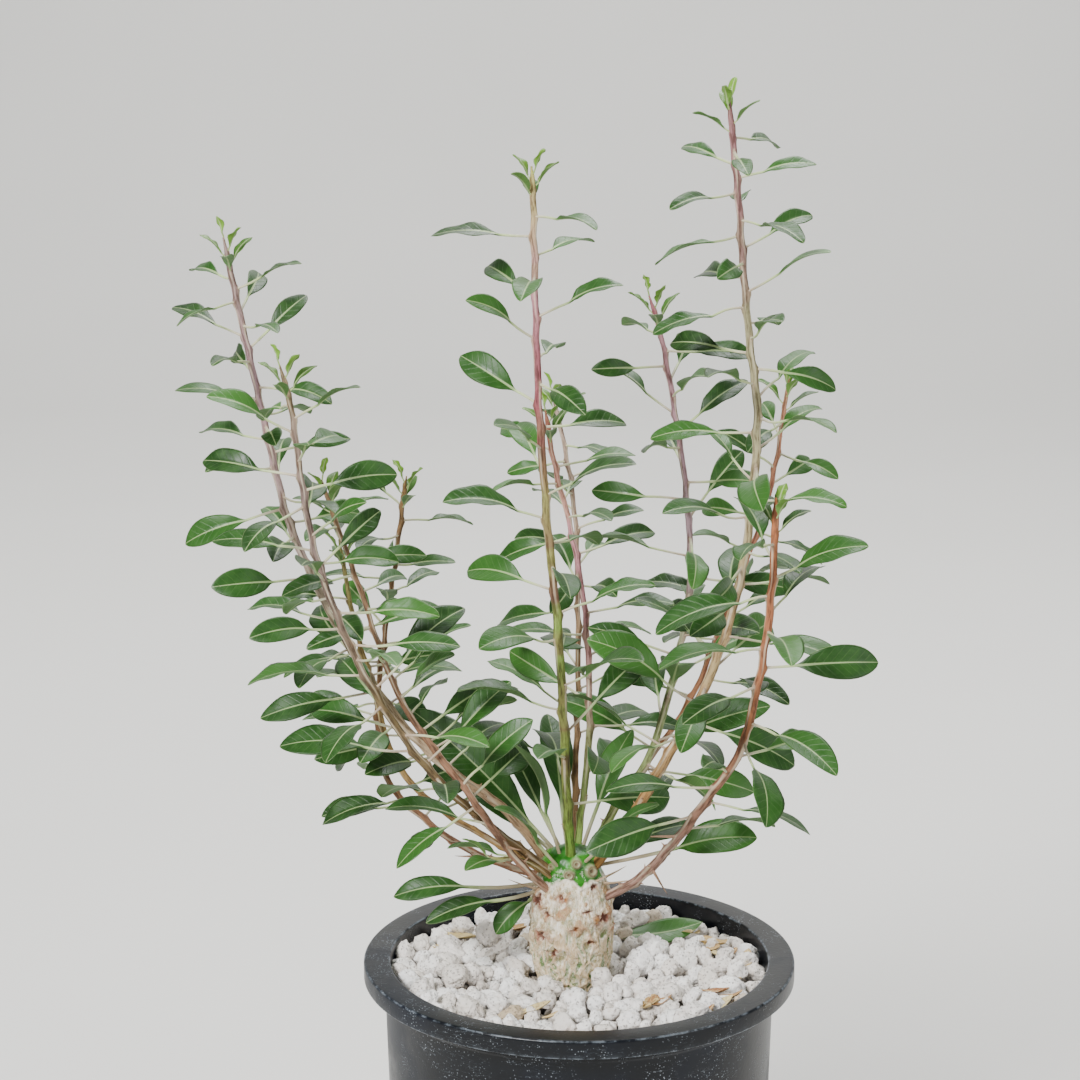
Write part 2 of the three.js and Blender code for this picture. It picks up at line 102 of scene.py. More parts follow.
# %% Tubes gathered into one mesh
class Tubes:
    """Closed tubes of one mesh. Each is rows of points round a line, with marks on the points."""

    def __init__(self):
        self.points, self.quads, self.caps, self.marks, self.count = [], [], [], {}, 0

    def add(self, rows, **marks):
        length, around = rows.shape[:2]
        index = self.count + np.arange(length * around).reshape(length, around)
        ahead = np.roll(index, -1, axis=1)
        quads = np.stack([index[:-1], ahead[:-1], ahead[1:], index[1:]], axis=-1)
        self.quads.append(quads.reshape(-1, 4))
        self.caps += [index[0][::-1].tolist(), index[-1].tolist()]
        self.points.append(rows.reshape(-1, 3))
        for name, values in marks.items():
            values = np.asarray(values, dtype=float)
            width = (3,) if values.ndim > 0 and values.shape[-1:] == (3,) else ()
            spread = np.broadcast_to(values, (length, around) + width)
            self.marks.setdefault(name, []).append(spread.reshape((-1,) + width))
        self.count += length * around

    def faces(self):
        return np.concatenate(self.quads).tolist() + self.caps


def signed_volume(points, faces):
    """Positive where a closed mesh's faces look outwards."""
    corners = np.array([face[:3] for face in faces])
    a, b, c = (points[corners[:, i]] for i in range(3))
    total = np.einsum("ij,ij->i", a, np.cross(b, c)).sum()
    quads = np.array([face for face in faces if len(face) == 4])
    if len(quads):
        a, b, c = (points[quads[:, i]] for i in (0, 2, 3))
        total += np.einsum("ij,ij->i", a, np.cross(b, c)).sum()
    return total / 6


# %% A piece from points and faces
def make_piece(name, points, faces, finish, nodes=(), marks=None):
    """Makes one smooth piece from millimetres, with its marks, and sets it in the frame."""
    if signed_volume(points, faces) < 0:
        faces = [face[::-1] for face in faces]
    mesh = bpy.data.meshes.new(name)
    mesh.from_pydata((points * MM).tolist(), [], faces)
    for mark, values in (marks or {}).items():
        if values.ndim > 1:
            layer = mesh.attributes.new(mark, "FLOAT_VECTOR", "POINT")
            layer.data.foreach_set("vector", values.ravel())
        else:
            layer = mesh.attributes.new(mark, "FLOAT", "POINT")
            layer.data.foreach_set("value", values)
    mesh.shade_smooth()
    mesh.materials.append(finish)
    piece = bpy.data.objects.new(name, mesh)
    bpy.context.scene.collection.objects.link(piece)
    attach(piece, "root")
    if nodes:
        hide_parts(*nodes)
    print(name, len(points), "points")
    return piece


def piece_from_tubes(name, tubes, finish, nodes=()):
    marks = {mark: np.concatenate(parts) for mark, parts in tubes.marks.items()}
    return make_piece(name, np.concatenate(tubes.points), tubes.faces(), finish, nodes, marks)


# %% [markdown]
# ## Building a finish
# Every finish is a Principled shader with procedural detail. Colours are written as the sRGB hex
# values a colour chart gives, and one function turns them to the linear values a shader takes.
# Another adds a node with its settings and its links, so each finish reads as a short recipe.

# %% Colour and node helpers
def linear(code):
    """Linear red, green, blue and alpha from an sRGB hex code."""
    channels = [int(code[i:i + 2], 16) / 255 for i in (1, 3, 5)]
    return [c / 12.92 if c <= 0.04045 else ((c + 0.055) / 1.055) ** 2.4 for c in channels] + [1]


def set_inputs(node, inputs):
    """Gives each of a node's inputs a value, a hex colour or a link."""
    for key, value in inputs.items():
        if isinstance(value, bpy.types.NodeSocket):
            node.id_data.links.new(value, node.inputs[key])
        else:
            node.inputs[key].default_value = linear(value) if isinstance(value, str) else value


def add_node(tree, kind, inputs=None, stops=None, output=0, **settings):
    """Adds a node with its settings, inputs and colour stops, and gives one of its outputs."""
    made = tree.nodes.new("ShaderNode" + kind)
    for name, value in settings.items():
        setattr(made, name, value)
    set_inputs(made, inputs or {})
    if stops:
        elements = made.color_ramp.elements
        while len(elements) < len(stops):
            elements.new(0.5)
        for element, (place, code) in zip(elements, stops):
            element.position = place
            element.color = linear(code)
    return made.outputs[output]


# %% A new finish, and texture scales in mm
SOFT = "SMOOTHSTEP"  # a range with soft ends
COLOUR_OUT = 2  # the output of a Mix node that gives a colour; 6 and 7 are its colour inputs


def new_finish(name):
    """An empty finish: the material, its shader, and what adds nodes to it."""
    finish = bpy.data.materials.new(name)
    finish.use_nodes = True
    tree = finish.node_tree
    return finish, tree.nodes["Principled BSDF"], functools.partial(add_node, tree)


def per_mm(size):
    """Texture scale, in repeats per metre, of a pattern whose features are size mm across."""
    return 1000 / size


print("a pattern of 2 mm repeats", per_mm(2), "times a metre")

# %% [markdown]
# ## The pot
# A one gallon nursery can is blow-moulded from black polyethylene. Its wall is about two
# millimetres thick and it has a broad flat rim that turns down at its edge. A lathe in mesh code
# gives the true round shape with real rounded corners. The drain holes are cut with a boolean,
# because they break the shape in a way that a lathe can't.

# %% Pot finish: moulded polyethylene, dusty and scuffed
# Polyethylene has an IOR of about 1.51. A moulded can is satin when new, and handling and potting
# leave pale scratches and a film of mineral dust, which is what makes the black look blue-grey.
def moulded_polyethylene():
    finish, shader, add = new_finish("moulded_polyethylene")
    edge = add("Attribute", output="Fac", attribute_name="edge")
    place = add("TexCoord", output="Object")
    film = add("MapRange", {
        "Value": add("TexNoise", {
            "Vector": place, "Scale": per_mm(45), "Detail": 6.0, "Roughness": 0.62,
        }),
        "From Min": 0.42, "From Max": 0.68,
    }, interpolation_type=SOFT)
    colour = add("Mix", {
        "Factor": film, 6: "#04070d", 7: "#0b111c",
    }, output=COLOUR_OUT, data_type="RGBA")
    # Dust specks are under 0.2 mm: they are drawn at 0.5 mm to show at all.
    specks = add("TexVoronoi", {"Vector": place, "Scale": per_mm(1.1)})
    patchy = add("MapRange", {
        "Value": add("TexNoise", {
            "Vector": place, "Scale": per_mm(16), "Detail": 5.0, "Roughness": 0.7,
        }),
        "From Min": 0.44, "From Max": 0.66,
    }, interpolation_type=SOFT)
    dust = add("Math", {
        0: add("MapRange", {
            "Value": specks, "From Min": 0.24, "From Max": 0.16,
        }, interpolation_type=SOFT),
        1: patchy,
    }, operation="MULTIPLY")
    colour = add("Mix", {
        "Factor": add("Math", {0: dust, 1: 0.75}, operation="MULTIPLY"), 6: colour, 7: "#a3abb3",
    }, output=COLOUR_OUT, data_type="RGBA")
    # The rim's corners are painted paler: partly rubbed wear, partly a painted highlight along the
    # edges.
    edge_wear_and_highlight = add("Math", {
        0: add("MapRange", {
            "Value": edge, "From Min": 0.35, "From Max": 0.9,
        }, interpolation_type=SOFT),
        1: add("MapRange", {
            "Value": add("TexNoise", {
                "Vector": place, "Scale": per_mm(4), "Detail": 6.0, "Roughness": 0.7,
            }),
            "From Min": 0.42, "From Max": 0.6,
        }, interpolation_type=SOFT),
    }, operation="MULTIPLY")
    colour = add("Mix", {
        "Factor": add("Math", {0: edge_wear_and_highlight, 1: 0.6}, operation="MULTIPLY"), 6: colour, 7: "#8d97a1",
    }, output=COLOUR_OUT, data_type="RGBA")
    stretched = add("Mapping", {"Vector": place, "Scale": (1, 1, 7)})
    scratches = add("TexNoise", {
        "Vector": stretched, "Scale": per_mm(22), "Detail": 3.0, "Roughness": 0.8,
    })
    fine = add("Math", {
        0: add("Math", {0: scratches, 1: 0.5}, operation="SUBTRACT"),
    }, operation="ABSOLUTE")
    scratch = add("Math", {
        0: add("MapRange", {
            "Value": fine, "From Min": 0.006, "From Max": 0.001,
        }, interpolation_type=SOFT),
        1: patchy,
    }, operation="MULTIPLY")
    colour = add("Mix", {
        "Factor": add("Math", {0: scratch, 1: 0.5}, operation="MULTIPLY"), 6: colour, 7: "#77818c",
    }, output=COLOUR_OUT, data_type="RGBA")
    rough = add("MapRange", {
        "Value": film, "From Min": 0.0, "From Max": 1.0, "To Min": 0.3, "To Max": 0.46,
    }, interpolation_type=SOFT)
    rough = add("Math", {
        0: rough, 1: add("Math", {0: dust, 1: 0.3}, operation="MULTIPLY"),
    }, operation="ADD")
    bumps = add("Bump", {
        "Height": add("TexNoise", {
            "Vector": place, "Scale": per_mm(1.6), "Detail": 3.0, "Roughness": 0.55,
        }),
        "Distance": 0.05 * MM, "Strength": 1.0,
    })
    set_inputs(shader, {
        "Base Color": colour, "Roughness": rough, "IOR": 1.51, "Specular IOR Level": 0.26,
        "Normal": add("Bump", {
            "Height": scratch, "Distance": 0.06 * MM, "Normal": bumps, "Strength": 1.0,
        }),
    })
    return finish


pot_finish = moulded_polyethylene()

# %% Pot outline
WALL = 2.0
FLOOR = 2.2
rim_radius = (pot_high[0] - pot_low[0]) / 2
pot_height = pot_high[2]
base_radius = 71.0
shoulder_radius = 75.2


def wall_radius(z):
    """Outside radius of the pot's wall."""
    return base_radius + (shoulder_radius - base_radius) * z / pot_height


def rounded(corner, before, after, radius, steps=5):
    """Points that round off a corner between two neighbours."""
    corner, before, after = (np.array(p, dtype=float) for p in (corner, before, after))
    start = corner + (before - corner) / np.linalg.norm(before - corner) * radius
    end = corner + (after - corner) / np.linalg.norm(after - corner) * radius
    shares = np.linspace(0, 1, steps)[:, None]
    return (1 - shares) ** 2 * start + 2 * shares * (1 - shares) * corner + shares ** 2 * end


def pot_outline():
    """Radius and height down the outside from the mouth, then up the inside."""
    top, flange, skirt = pot_height, pot_height - WALL, pot_height - 7
    inner = wall_radius(top) - WALL
    corners = [
        ((inner - 0.8, flange - WALL), 1.5), ((inner - 0.9, top), 0.9), ((rim_radius, top), 1.1),
        ((rim_radius, skirt), 0.7), ((rim_radius - 1.8, skirt), 0.5),
        ((rim_radius - 1.8, flange), 0.9), ((wall_radius(flange), flange), 1.2),
        ((wall_radius(flange - 9), flange - 9), 0.4),
        ((wall_radius(flange - 10) - 0.5, flange - 10), 0.4),
        ((wall_radius(6) - 0.5, 6), 1.0), ((base_radius - 0.2, 2.5), 1.2),
        ((base_radius - 3, 0), 1.6), ((base_radius - 9, 0), 0.6), ((base_radius - 10, 1), 0.5),
        ((0.01, 1), 0), ((0.01, FLOOR + 0.6), 0), ((wall_radius(3) - WALL, FLOOR + 0.6), 2.0),
    ]
    points = []
    for i, (corner, radius) in enumerate(corners):
        before, after = corners[i - 1][0], corners[(i + 1) % len(corners)][0]
        if radius:
            points += rounded(corner, before, after, radius).tolist()
        else:
            points.append(list(corner))
    return np.array(points)


# %% Pot
def ring_of(radius, z, segments):
    angles = np.linspace(0, 2 * math.pi, segments, endpoint=False)
    return np.stack([radius * np.cos(angles), radius * np.sin(angles), angles * 0 + z], axis=-1)


def make_pot():
    outline = pot_outline()
    # Long straight runs are divided, so that the wall can carry its slight waviness.
    dense = [outline[0]]
    for a, b in zip(outline, np.roll(outline, -1, axis=0)):
        steps = max(1, int(np.linalg.norm(b - a) / 6))
        dense += [a + (b - a) * (i + 1) / steps for i in range(steps)]
    dense = np.array(dense[:-1])
    segments = 224
    rows = np.stack([ring_of(radius, z, segments) for radius, z in dense])
    length = len(rows)
    index = np.arange(length * segments).reshape(length, segments)
    ahead, below = np.roll(index, -1, axis=1), np.roll(index, -1, axis=0)
    corner = np.roll(ahead, -1, axis=0)
    quads = np.stack([index, ahead, corner, below], axis=-1).reshape(-1, 4)
    points = rows.reshape(-1, 3)
    # A moulded wall is never dead flat: about a tenth of a millimetre of waves bends reflections.
    shift = [0.12 * noise.noise(Vector(p * 0.03)) for p in points]
    radial = points * [1, 1, 0] / np.maximum(np.linalg.norm(points[:, :2], axis=1), 1)[:, None]
    points = points + radial * np.array(shift)[:, None]
    # The edge mark is where the finish paints the rim's corners paler, partly as wear and partly as
    # painted highlight.
    edges = [(rim_radius, pot_height), (rim_radius, pot_height - 7),
             (wall_radius(pot_height) - WALL - 0.9, pot_height)]
    near = np.array([min(math.dist(c, e) for e in edges) for c in dense])
    edge = np.repeat(np.clip(1 - near / 1.3, 0, 1), segments)
    return make_piece("nursery_pot", points, quads.tolist(), pot_finish,
                      ["pot"], {"edge": edge})


pot = make_pot()

# %% Drain holes
def cut_holes(piece, count=5, circle=56.0, radius=5.5):
    """Cuts round holes through the pot's floor with one joined cutter."""
    cutters = Tubes()
    for i in range(count):
        angle = 2 * math.pi * i / count
        centre = np.array([circle * math.cos(angle), circle * math.sin(angle), 0])
        rows = np.stack([ring_of(radius, z, 40) + centre for z in (-3, 6)])
        cutters.add(rows)
    points, faces = np.concatenate(cutters.points), cutters.faces()
    if signed_volume(points, faces) < 0:
        faces = [face[::-1] for face in faces]
    mesh = bpy.data.meshes.new("hole_cutter")
    mesh.from_pydata((points * MM).tolist(), [], faces)
    cutter = bpy.data.objects.new("hole_cutter", mesh)
    bpy.context.scene.collection.objects.link(cutter)
    modifier = piece.modifiers.new("drain", "BOOLEAN")
    modifier.operation, modifier.object, modifier.solver = "DIFFERENCE", cutter, "EXACT"
    graph = bpy.context.evaluated_depsgraph_get()
    cut = bpy.data.meshes.new_from_object(piece.evaluated_get(graph))
    piece.modifiers.clear()
    piece.data = cut
    bpy.data.objects.remove(cutter)
    print("pot after cutting", len(cut.vertices), "points")


cut_holes(pot)

# %% [markdown]
# ## The growing mix
# Under the pumice the can is filled with a dark gritty mix. It shows only through the drain
# holes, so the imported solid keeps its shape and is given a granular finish.

# %% Growing mix finish: peat, grit and perlite
def gritty_growing_mix():
    finish, shader, add = new_finish("gritty_growing_mix")
    place = add("TexCoord", output="Object")
    crumbs = add("TexVoronoi", {"Vector": place, "Scale": per_mm(3.0)})
    colour = add("ValToRGB", {
        "Fac": add("TexNoise", {
            "Vector": place, "Scale": per_mm(4), "Detail": 8.0, "Roughness": 0.7,
        }),
    }, [(0.3, "#2a2019"), (0.5, "#4a3a2c"), (0.66, "#6b5846"), (0.74, "#c9c2b4")])
    set_inputs(shader, {
        "Base Color": colour, "Roughness": 0.95,
        "Normal": add("Bump", {"Height": crumbs, "Distance": 1.2 * MM, "Strength": 1.0}),
    })
    return finish


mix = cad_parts["growing_mix"]
mix.material_slots[0].material = gritty_growing_mix()
print("growing mix finished")

# %% [markdown]
# ## The trunk
# A boojum tree stores water in a barrel-shaped trunk. Its papery cream bark splits into a net of
# upright cracks as the barrel swells, and green living tissue shows in them. The bark ends in a
# ragged edge, and above it is a smooth green crown with round bud scars. All of that is real
# relief, so the trunk is a dense grid that is pushed in and out by noise and by scars placed on
# the plant's own spiral. The same sums paint the marks that the finish reads.

# %% Trunk measures
trunk_centre = (trunk_low + trunk_high) / 2
belly = (trunk_high[0] - trunk_low[0]) / 2
crown_height = 54.0
buried = 22.0
surface = trunk_high[2] - crown_height
waist, neck = 12.4, 11.1
GOLDEN = 137.5
print("bed level", round(surface, 1), "mm, belly radius", round(belly, 2), "mm")


def fade(value, low, high):
    """0 below low, 1 above high, with soft ends. low may be above high."""
    share = np.clip((value - low) / (high - low), 0, 1)
    return share * share * (3 - 2 * share)


def bell(value, width):
    return np.exp(-(value / width) ** 2)


def trunk_radius(z):
    """Radius at a height above the bed: a barrel that narrows to a neck and a domed crown."""
    foot = [(waist * 0.45, -buried), (waist * 0.8, -0.72 * buried), (waist * 0.92, -0.3 * buried)]
    body = [(waist, 0), (waist + 0.7 * (belly - waist), 0.15), (belly, 0.3), (belly, 0.54),
            (belly - 0.25 * (belly - neck), 0.68), (belly - 0.62 * (belly - neck), 0.77),
            (neck, 0.82), (neck * 0.97, 0.88), (neck * 0.84, 0.94), (neck * 0.5, 0.985), (0.2, 1)]
    outline = foot + [(radius, share * crown_height) for radius, share in body]
    radii, heights = np.array(outline).T
    spread = np.linspace(-1.5, 1.5, 7)
    return np.mean([np.interp(z + shift, heights, radii) for shift in spread], axis=0)


# %% Scars and buds up the trunk's spiral
look = np.random.default_rng(11)


def spiral_spots(count, low, high, first, lean=1.0):
    """Angle, height and a random share for spots that climb the plant's spiral."""
    shares = ((np.arange(count) + 0.5) / count) ** lean
    angles = np.radians(first + GOLDEN * np.arange(count)) + look.uniform(-0.12, 0.12, count)
    heights = low + (high - low) * shares + look.uniform(-0.8, 0.8, count)
    return np.stack([angles, heights, look.uniform(0, 1, count)], axis=-1)


bark_scars = spiral_spots(25, 15, 40.5, 250, 0.9)
crown_buds = spiral_spots(9, 45.6, 49.5, 262)


def nearest_spot(spots, angle, height, radius, size, wide):
    """Distance to the nearest spot in spot sizes, and how far below that spot a point is."""
    nearest = np.full(angle.shape, 99.0)
    below = np.zeros(angle.shape)
    for spot_angle, spot_height, share in spots:
        turn = (angle - spot_angle + math.pi) % (2 * math.pi) - math.pi
        reach = size * (0.6 + 0.9 * share)
        distance = np.hypot(turn * radius / wide, height - spot_height) / reach
        closer = distance < nearest
        nearest = np.where(closer, distance, nearest)
        below = np.where(closer, (spot_height - height) / reach, below)
    return nearest, below


# %% Trunk surface
def field(points, scale, kind=noise.noise):
    """A noise function over many points."""
    flat = (points * scale).reshape(-1, 3).tolist()
    return np.array([kind(Vector(p)) for p in flat]).reshape(points.shape[:-1])


def cell_walls(point):
    """1 on the walls between cells, falling to 0 inside them."""
    distances = noise.voronoi(point)[0]
    return max(0.0, 1 - (distances[1] - distances[0]) / 0.3)


def trunk_rows():
    heights = np.concatenate([np.linspace(-buried, -5, 6), np.arange(-4, 53.7, 0.3), [53.9]])
    angle, height = np.meshgrid(np.linspace(0, 2 * math.pi, 320, endpoint=False), heights)
    radius = trunk_radius(height)
    place = np.stack([radius * np.cos(angle), radius * np.sin(angle), height], axis=-1)
    girdle = place / np.maximum(radius, 1)[..., None] * [1, 1, 0]
    edge = 42.6 + 2.2 * field(girdle, 2.3) + 1.3 * field(girdle + [4, 0, 0], 6.5)
    bark = fade(height, edge + 0.3, edge - 0.3)
    warp = np.stack([field(place + [9, 0, 0], 0.16), field(place + [0, 7, 0], 0.16),
                     1.5 * field(place + [0, 0, 5], 0.12)], -1) * 2.2
    low = fade(height + 5 * field(place, 0.12), 30, 19)
    net = field((place + warp) * [1, 1, 0.24], 0.36, cell_walls) * (0.25 + 0.75 * low)
    fine = field((place + warp) * [1, 1, 0.3], 1.05, cell_walls)
    lumps = field(place, 0.22)
    mottled = field(place, 0.55)
    ragged = 0.7 * field(place, 0.55) + 0.45 * field(place, 1.3)
    scar, below = nearest_spot(bark_scars, angle, height, radius, 1.8, 1.5)
    scar = scar + ragged
    lip = bell(scar - 1.25, 0.5) * bark
    hollow = fade(scar, 0.75, 0.25) * bark
    flake = fade(field(place * [1, 1, 0.6] + [31, 0, 0], 0.36), 0.3, 0.4) * bark * (1 - low)
    bud, _ = nearest_spot(crown_buds, angle, height, radius, 2.0, 1.05)
    nub = fade(bud, 1.25, 0.6) * (1 - bark)
    pit = fade(bud, 0.42, 0.2) * (1 - bark)
    ring = bell(bud - 0.62, 0.14) * (1 - bark)
    rolled = bell(height - edge + 0.7, 0.8) * bark
    out = bark * (0.75 * net + 0.2 * fine + 0.32 * mottled - 0.2) + 0.45 * lumps
    out += 0.8 * lip * (0.35 + 0.65 * fade(below, 0.5, -0.7)) - 0.7 * hollow + 0.4 * rolled
    out += 0.4 * flake
    out += (1 - bark) * (0.5 * field(place, 0.4)) + 1.2 * nub - 0.7 * pit + 0.25 * ring
    out *= fade(radius, 0.3, 3)
    rows = place + girdle * out[..., None]
    marks = {"bark": bark, "net": net, "scar": fade(scar, 1.0, 0.45) * bark, "nub": nub,
             "stain": bell(scar, 1.8) * bark, "flake": flake, "low": low, "pit": pit + ring,
             "rolled": rolled, "climb": height / crown_height, "fine": fine,
             "stub": height * 0}
    return rows + [trunk_centre[0], trunk_centre[1], surface], marks


# %% [markdown]
# ### Finishing the bark and crown
# The bark is thin and papery: cream where it is thick, greenish grey in the cracks low down, and
# rusty brown round the scars. The crown is living skin with a slight gloss. One finish reads the
# painted marks, so that the colours follow the relief exactly.

# %% Trunk finish: papery bark over living green skin
def papery_bark():
    finish, shader, add = new_finish("papery_bark_and_green_crown")
    net, low, fine, stain, scar, flake, climb, nub, pit, bark, rolled, stub = (
        add("Attribute", output="Fac", attribute_name=name)
        for name in ("net", "low", "fine", "stain", "scar", "flake", "climb", "nub", "pit", "bark",
                     "rolled", "stub"))
    place = add("TexCoord", output="Object")
    upright = add("Mapping", {"Vector": place, "Scale": (1, 1, 0.35)})
    fibre = add("TexNoise", {
        "Vector": upright, "Scale": per_mm(1.1), "Detail": 6.0, "Roughness": 0.7,
    })
    cloudy = add("TexNoise", {
        "Vector": place, "Scale": per_mm(5), "Detail": 5.0, "Roughness": 0.65,
    })
    colour = add("ValToRGB", {
        "Fac": fibre,
    }, [(0.32, "#7f6847"), (0.43, "#bda87f"), (0.53, "#e8dcc3"), (0.66, "#fbf7ee")])
    # Grey-green living tissue shows through thin bark, and clearly between the low cords.
    speckle = add("MapRange", {
        "Value": add("TexNoise", {
            "Vector": place, "Scale": per_mm(1.3), "Detail": 5.0, "Roughness": 0.75,
        }),
        "From Min": 0.44, "From Max": 0.56, "To Min": 0.35, "To Max": 1,
    }, interpolation_type=SOFT)
    thin = add("Math", {
        0: add("MapRange", {
            "Value": cloudy, "From Min": 0.47, "From Max": 0.6, "To Min": 0, "To Max": 0.85,
        }, interpolation_type=SOFT),
        1: speckle,
    }, operation="MULTIPLY")
    colour = add("Mix", {
        "Factor": thin, 6: colour, 7: "#7f8e6c",
    }, output=COLOUR_OUT, data_type="RGBA")
    open_net = add("Math", {
        0: 1.0,
        1: add("MapRange", {
            "Value": net, "From Min": 0.05, "From Max": 0.4,
        }, interpolation_type=SOFT),
    }, operation="SUBTRACT")
    green = add("Math", {0: low, 1: open_net}, operation="MULTIPLY")
    green = add("Math", {
        0: green,
        1: add("MapRange", {
            "Value": cloudy, "From Min": 0.4, "From Max": 0.55, "To Min": 0.25, "To Max": 1,
        }, interpolation_type=SOFT),
    }, operation="MULTIPLY")
    colour = add("Mix", {
        "Factor": add("Math", {0: green, 1: 0.95}, operation="MULTIPLY"), 6: colour, 7: "#5c7a42",
    }, output=COLOUR_OUT, data_type="RGBA")
    cords = add("Math", {
        0: add("MapRange", {
            "Value": net, "From Min": 0.3, "From Max": 0.7,
        }, interpolation_type=SOFT),
        1: add("MapRange", {
            "Value": fibre, "From Min": 0.35, "From Max": 0.6, "To Min": 0.4, "To Max": 1,
        }, interpolation_type=SOFT),
    }, operation="MULTIPLY")
    colour = add("Mix", {
        "Factor": add("Math", {0: cords, 1: 0.8}, operation="MULTIPLY"), 6: colour, 7: "#cdb28a",
    }, output=COLOUR_OUT, data_type="RGBA")
    colour = add("Mix", {
        "Factor": add("MapRange", {
            "Value": fine, "From Min": 0.5, "From Max": 0.95, "To Min": 0, "To Max": 0.4,
        }, interpolation_type=SOFT),
        6: colour, 7: "#f1e9d8",
    }, output=COLOUR_OUT, data_type="RGBA")
    # Old stalks leave rusty pits with a mauve stain round them.
    pink = add("Math", {
        0: stain,
        1: add("MapRange", {
            "Value": cloudy, "From Min": 0.42, "From Max": 0.6, "To Min": 0.2, "To Max": 1,
        }, interpolation_type=SOFT),
    }, operation="MULTIPLY")
    colour = add("Mix", {
        "Factor": add("Math", {0: pink, 1: 0.85}, operation="MULTIPLY"), 6: colour, 7: "#a8705c",
    }, output=COLOUR_OUT, data_type="RGBA")
    rust = add("Math", {
        0: scar,
        1: add("MapRange", {
            "Value": fibre, "From Min": 0.35, "From Max": 0.6, "To Min": 0.5, "To Max": 1,
        }, interpolation_type=SOFT),
    }, operation="MULTIPLY")
    colour = add("Mix", {
        "Factor": add("Math", {0: rust, 1: 0.95}, operation="MULTIPLY"), 6: colour, 7: "#7a4030",
    }, output=COLOUR_OUT, data_type="RGBA")
    colour = add("Mix", {
        "Factor": add("MapRange", {
            "Value": scar, "From Min": 0.8, "From Max": 1.0, "To Min": 0, "To Max": 0.65,
        }, interpolation_type=SOFT),
        6: colour, 7: "#4a2c20",
    }, output=COLOUR_OUT, data_type="RGBA")
    torn = add("Math", {
        0: flake,
        1: add("MapRange", {
            "Value": fibre, "From Min": 0.4, "From Max": 0.58, "To Min": 0.3, "To Max": 1,
        }, interpolation_type=SOFT),
    }, operation="MULTIPLY")
    colour = add("Mix", {
        "Factor": add("Math", {0: torn, 1: 0.85}, operation="MULTIPLY"), 6: colour, 7: "#a06a30",
    }, output=COLOUR_OUT, data_type="RGBA")
    living = add("ValToRGB", {
        "Fac": add("TexNoise", {
            "Vector": place, "Scale": per_mm(5), "Detail": 4.0, "Roughness": 0.55,
        }),
    }, [(0.3, "#164d0c"), (0.5, "#267013"), (0.7, "#4a9626")])
    white = add("Math", {
        0: add("MapRange", {
            "Value": add("TexNoise", {
                "Vector": place, "Scale": per_mm(3.2), "Detail": 5.0, "Roughness": 0.7,
            }),
            "From Min": 0.52, "From Max": 0.6,
        }, interpolation_type=SOFT),
        1: add("MapRange", {
            "Value": climb, "From Min": 0.95, "From Max": 0.8,
        }, interpolation_type=SOFT),
    }, operation="MULTIPLY")
    living = add("Mix", {
        "Factor": add("Math", {0: white, 1: 0.75}, operation="MULTIPLY"), 6: living, 7: "#c9d2b4",
    }, output=COLOUR_OUT, data_type="RGBA")
    living = add("Mix", {
        "Factor": add("Math", {0: nub, 1: 0.75}, operation="MULTIPLY"), 6: living, 7: "#a8a283",
    }, output=COLOUR_OUT, data_type="RGBA")
    living = add("Mix", {
        "Factor": pit, 6: living, 7: "#6d5a41",
    }, output=COLOUR_OUT, data_type="RGBA")
    colour = add("Mix", {"Factor": bark, 6: living, 7: colour}, output=COLOUR_OUT, data_type="RGBA")
    colour = add("Mix", {
        "Factor": add("Math", {0: rolled, 1: 0.6}, operation="MULTIPLY"), 6: colour, 7: "#ece6d8",
    }, output=COLOUR_OUT, data_type="RGBA")
    colour = add("Mix", {
        "Factor": stub, 6: colour, 7: "#b39a7c",
    }, output=COLOUR_OUT, data_type="RGBA")
    height = add("Math", {0: fibre, 1: bark}, operation="MULTIPLY")
    set_inputs(shader, {
        "Base Color": colour,
        "Roughness": add("MapRange", {
            "Value": bark, "From Min": 0, "From Max": 1, "To Min": 0.36, "To Max": 0.86,
        }, interpolation_type=SOFT),
        "IOR": 1.45, "Specular IOR Level": 0.4,
        "Normal": add("Bump", {"Height": height, "Distance": 0.6 * MM, "Strength": 1.0}),
    })
    return finish


bark_finish = papery_bark()

# %% A thorn or a stub
def thorn_rows(foot, out, length, radius, bend=0.06, around=8, steps=9):
    """A slender cone that curves a little upwards."""
    out = out / np.linalg.norm(out)
    side = np.cross(out, [0, 0, 1.0])
    side /= max(np.linalg.norm(side), 1e-6)
    rise = np.cross(side, out)
    shares = np.linspace(0, 1, steps)[:, None]
    centre = foot + out * shares * length + rise * length * bend * shares ** 2
    thick = radius * (1 - shares) ** 0.8 * (1 + 0.8 * bell(shares, 0.08)) + 0.04
    angles = np.linspace(0, 2 * math.pi, around, endpoint=False)
    ring = side[None] * np.cos(angles)[:, None] + rise[None] * np.sin(angles)[:, None]
    return centre[:, None, :] + thick[:, :, None] * ring[None]


# %% Trunk
def direction(bearing, climb):
    """A unit direction from a compass bearing and a climb, in degrees."""
    bearing, climb = math.radians(bearing), math.radians(climb)
    flat = math.cos(climb)
    return np.array([flat * math.cos(bearing), flat * math.sin(bearing), math.sin(climb)])


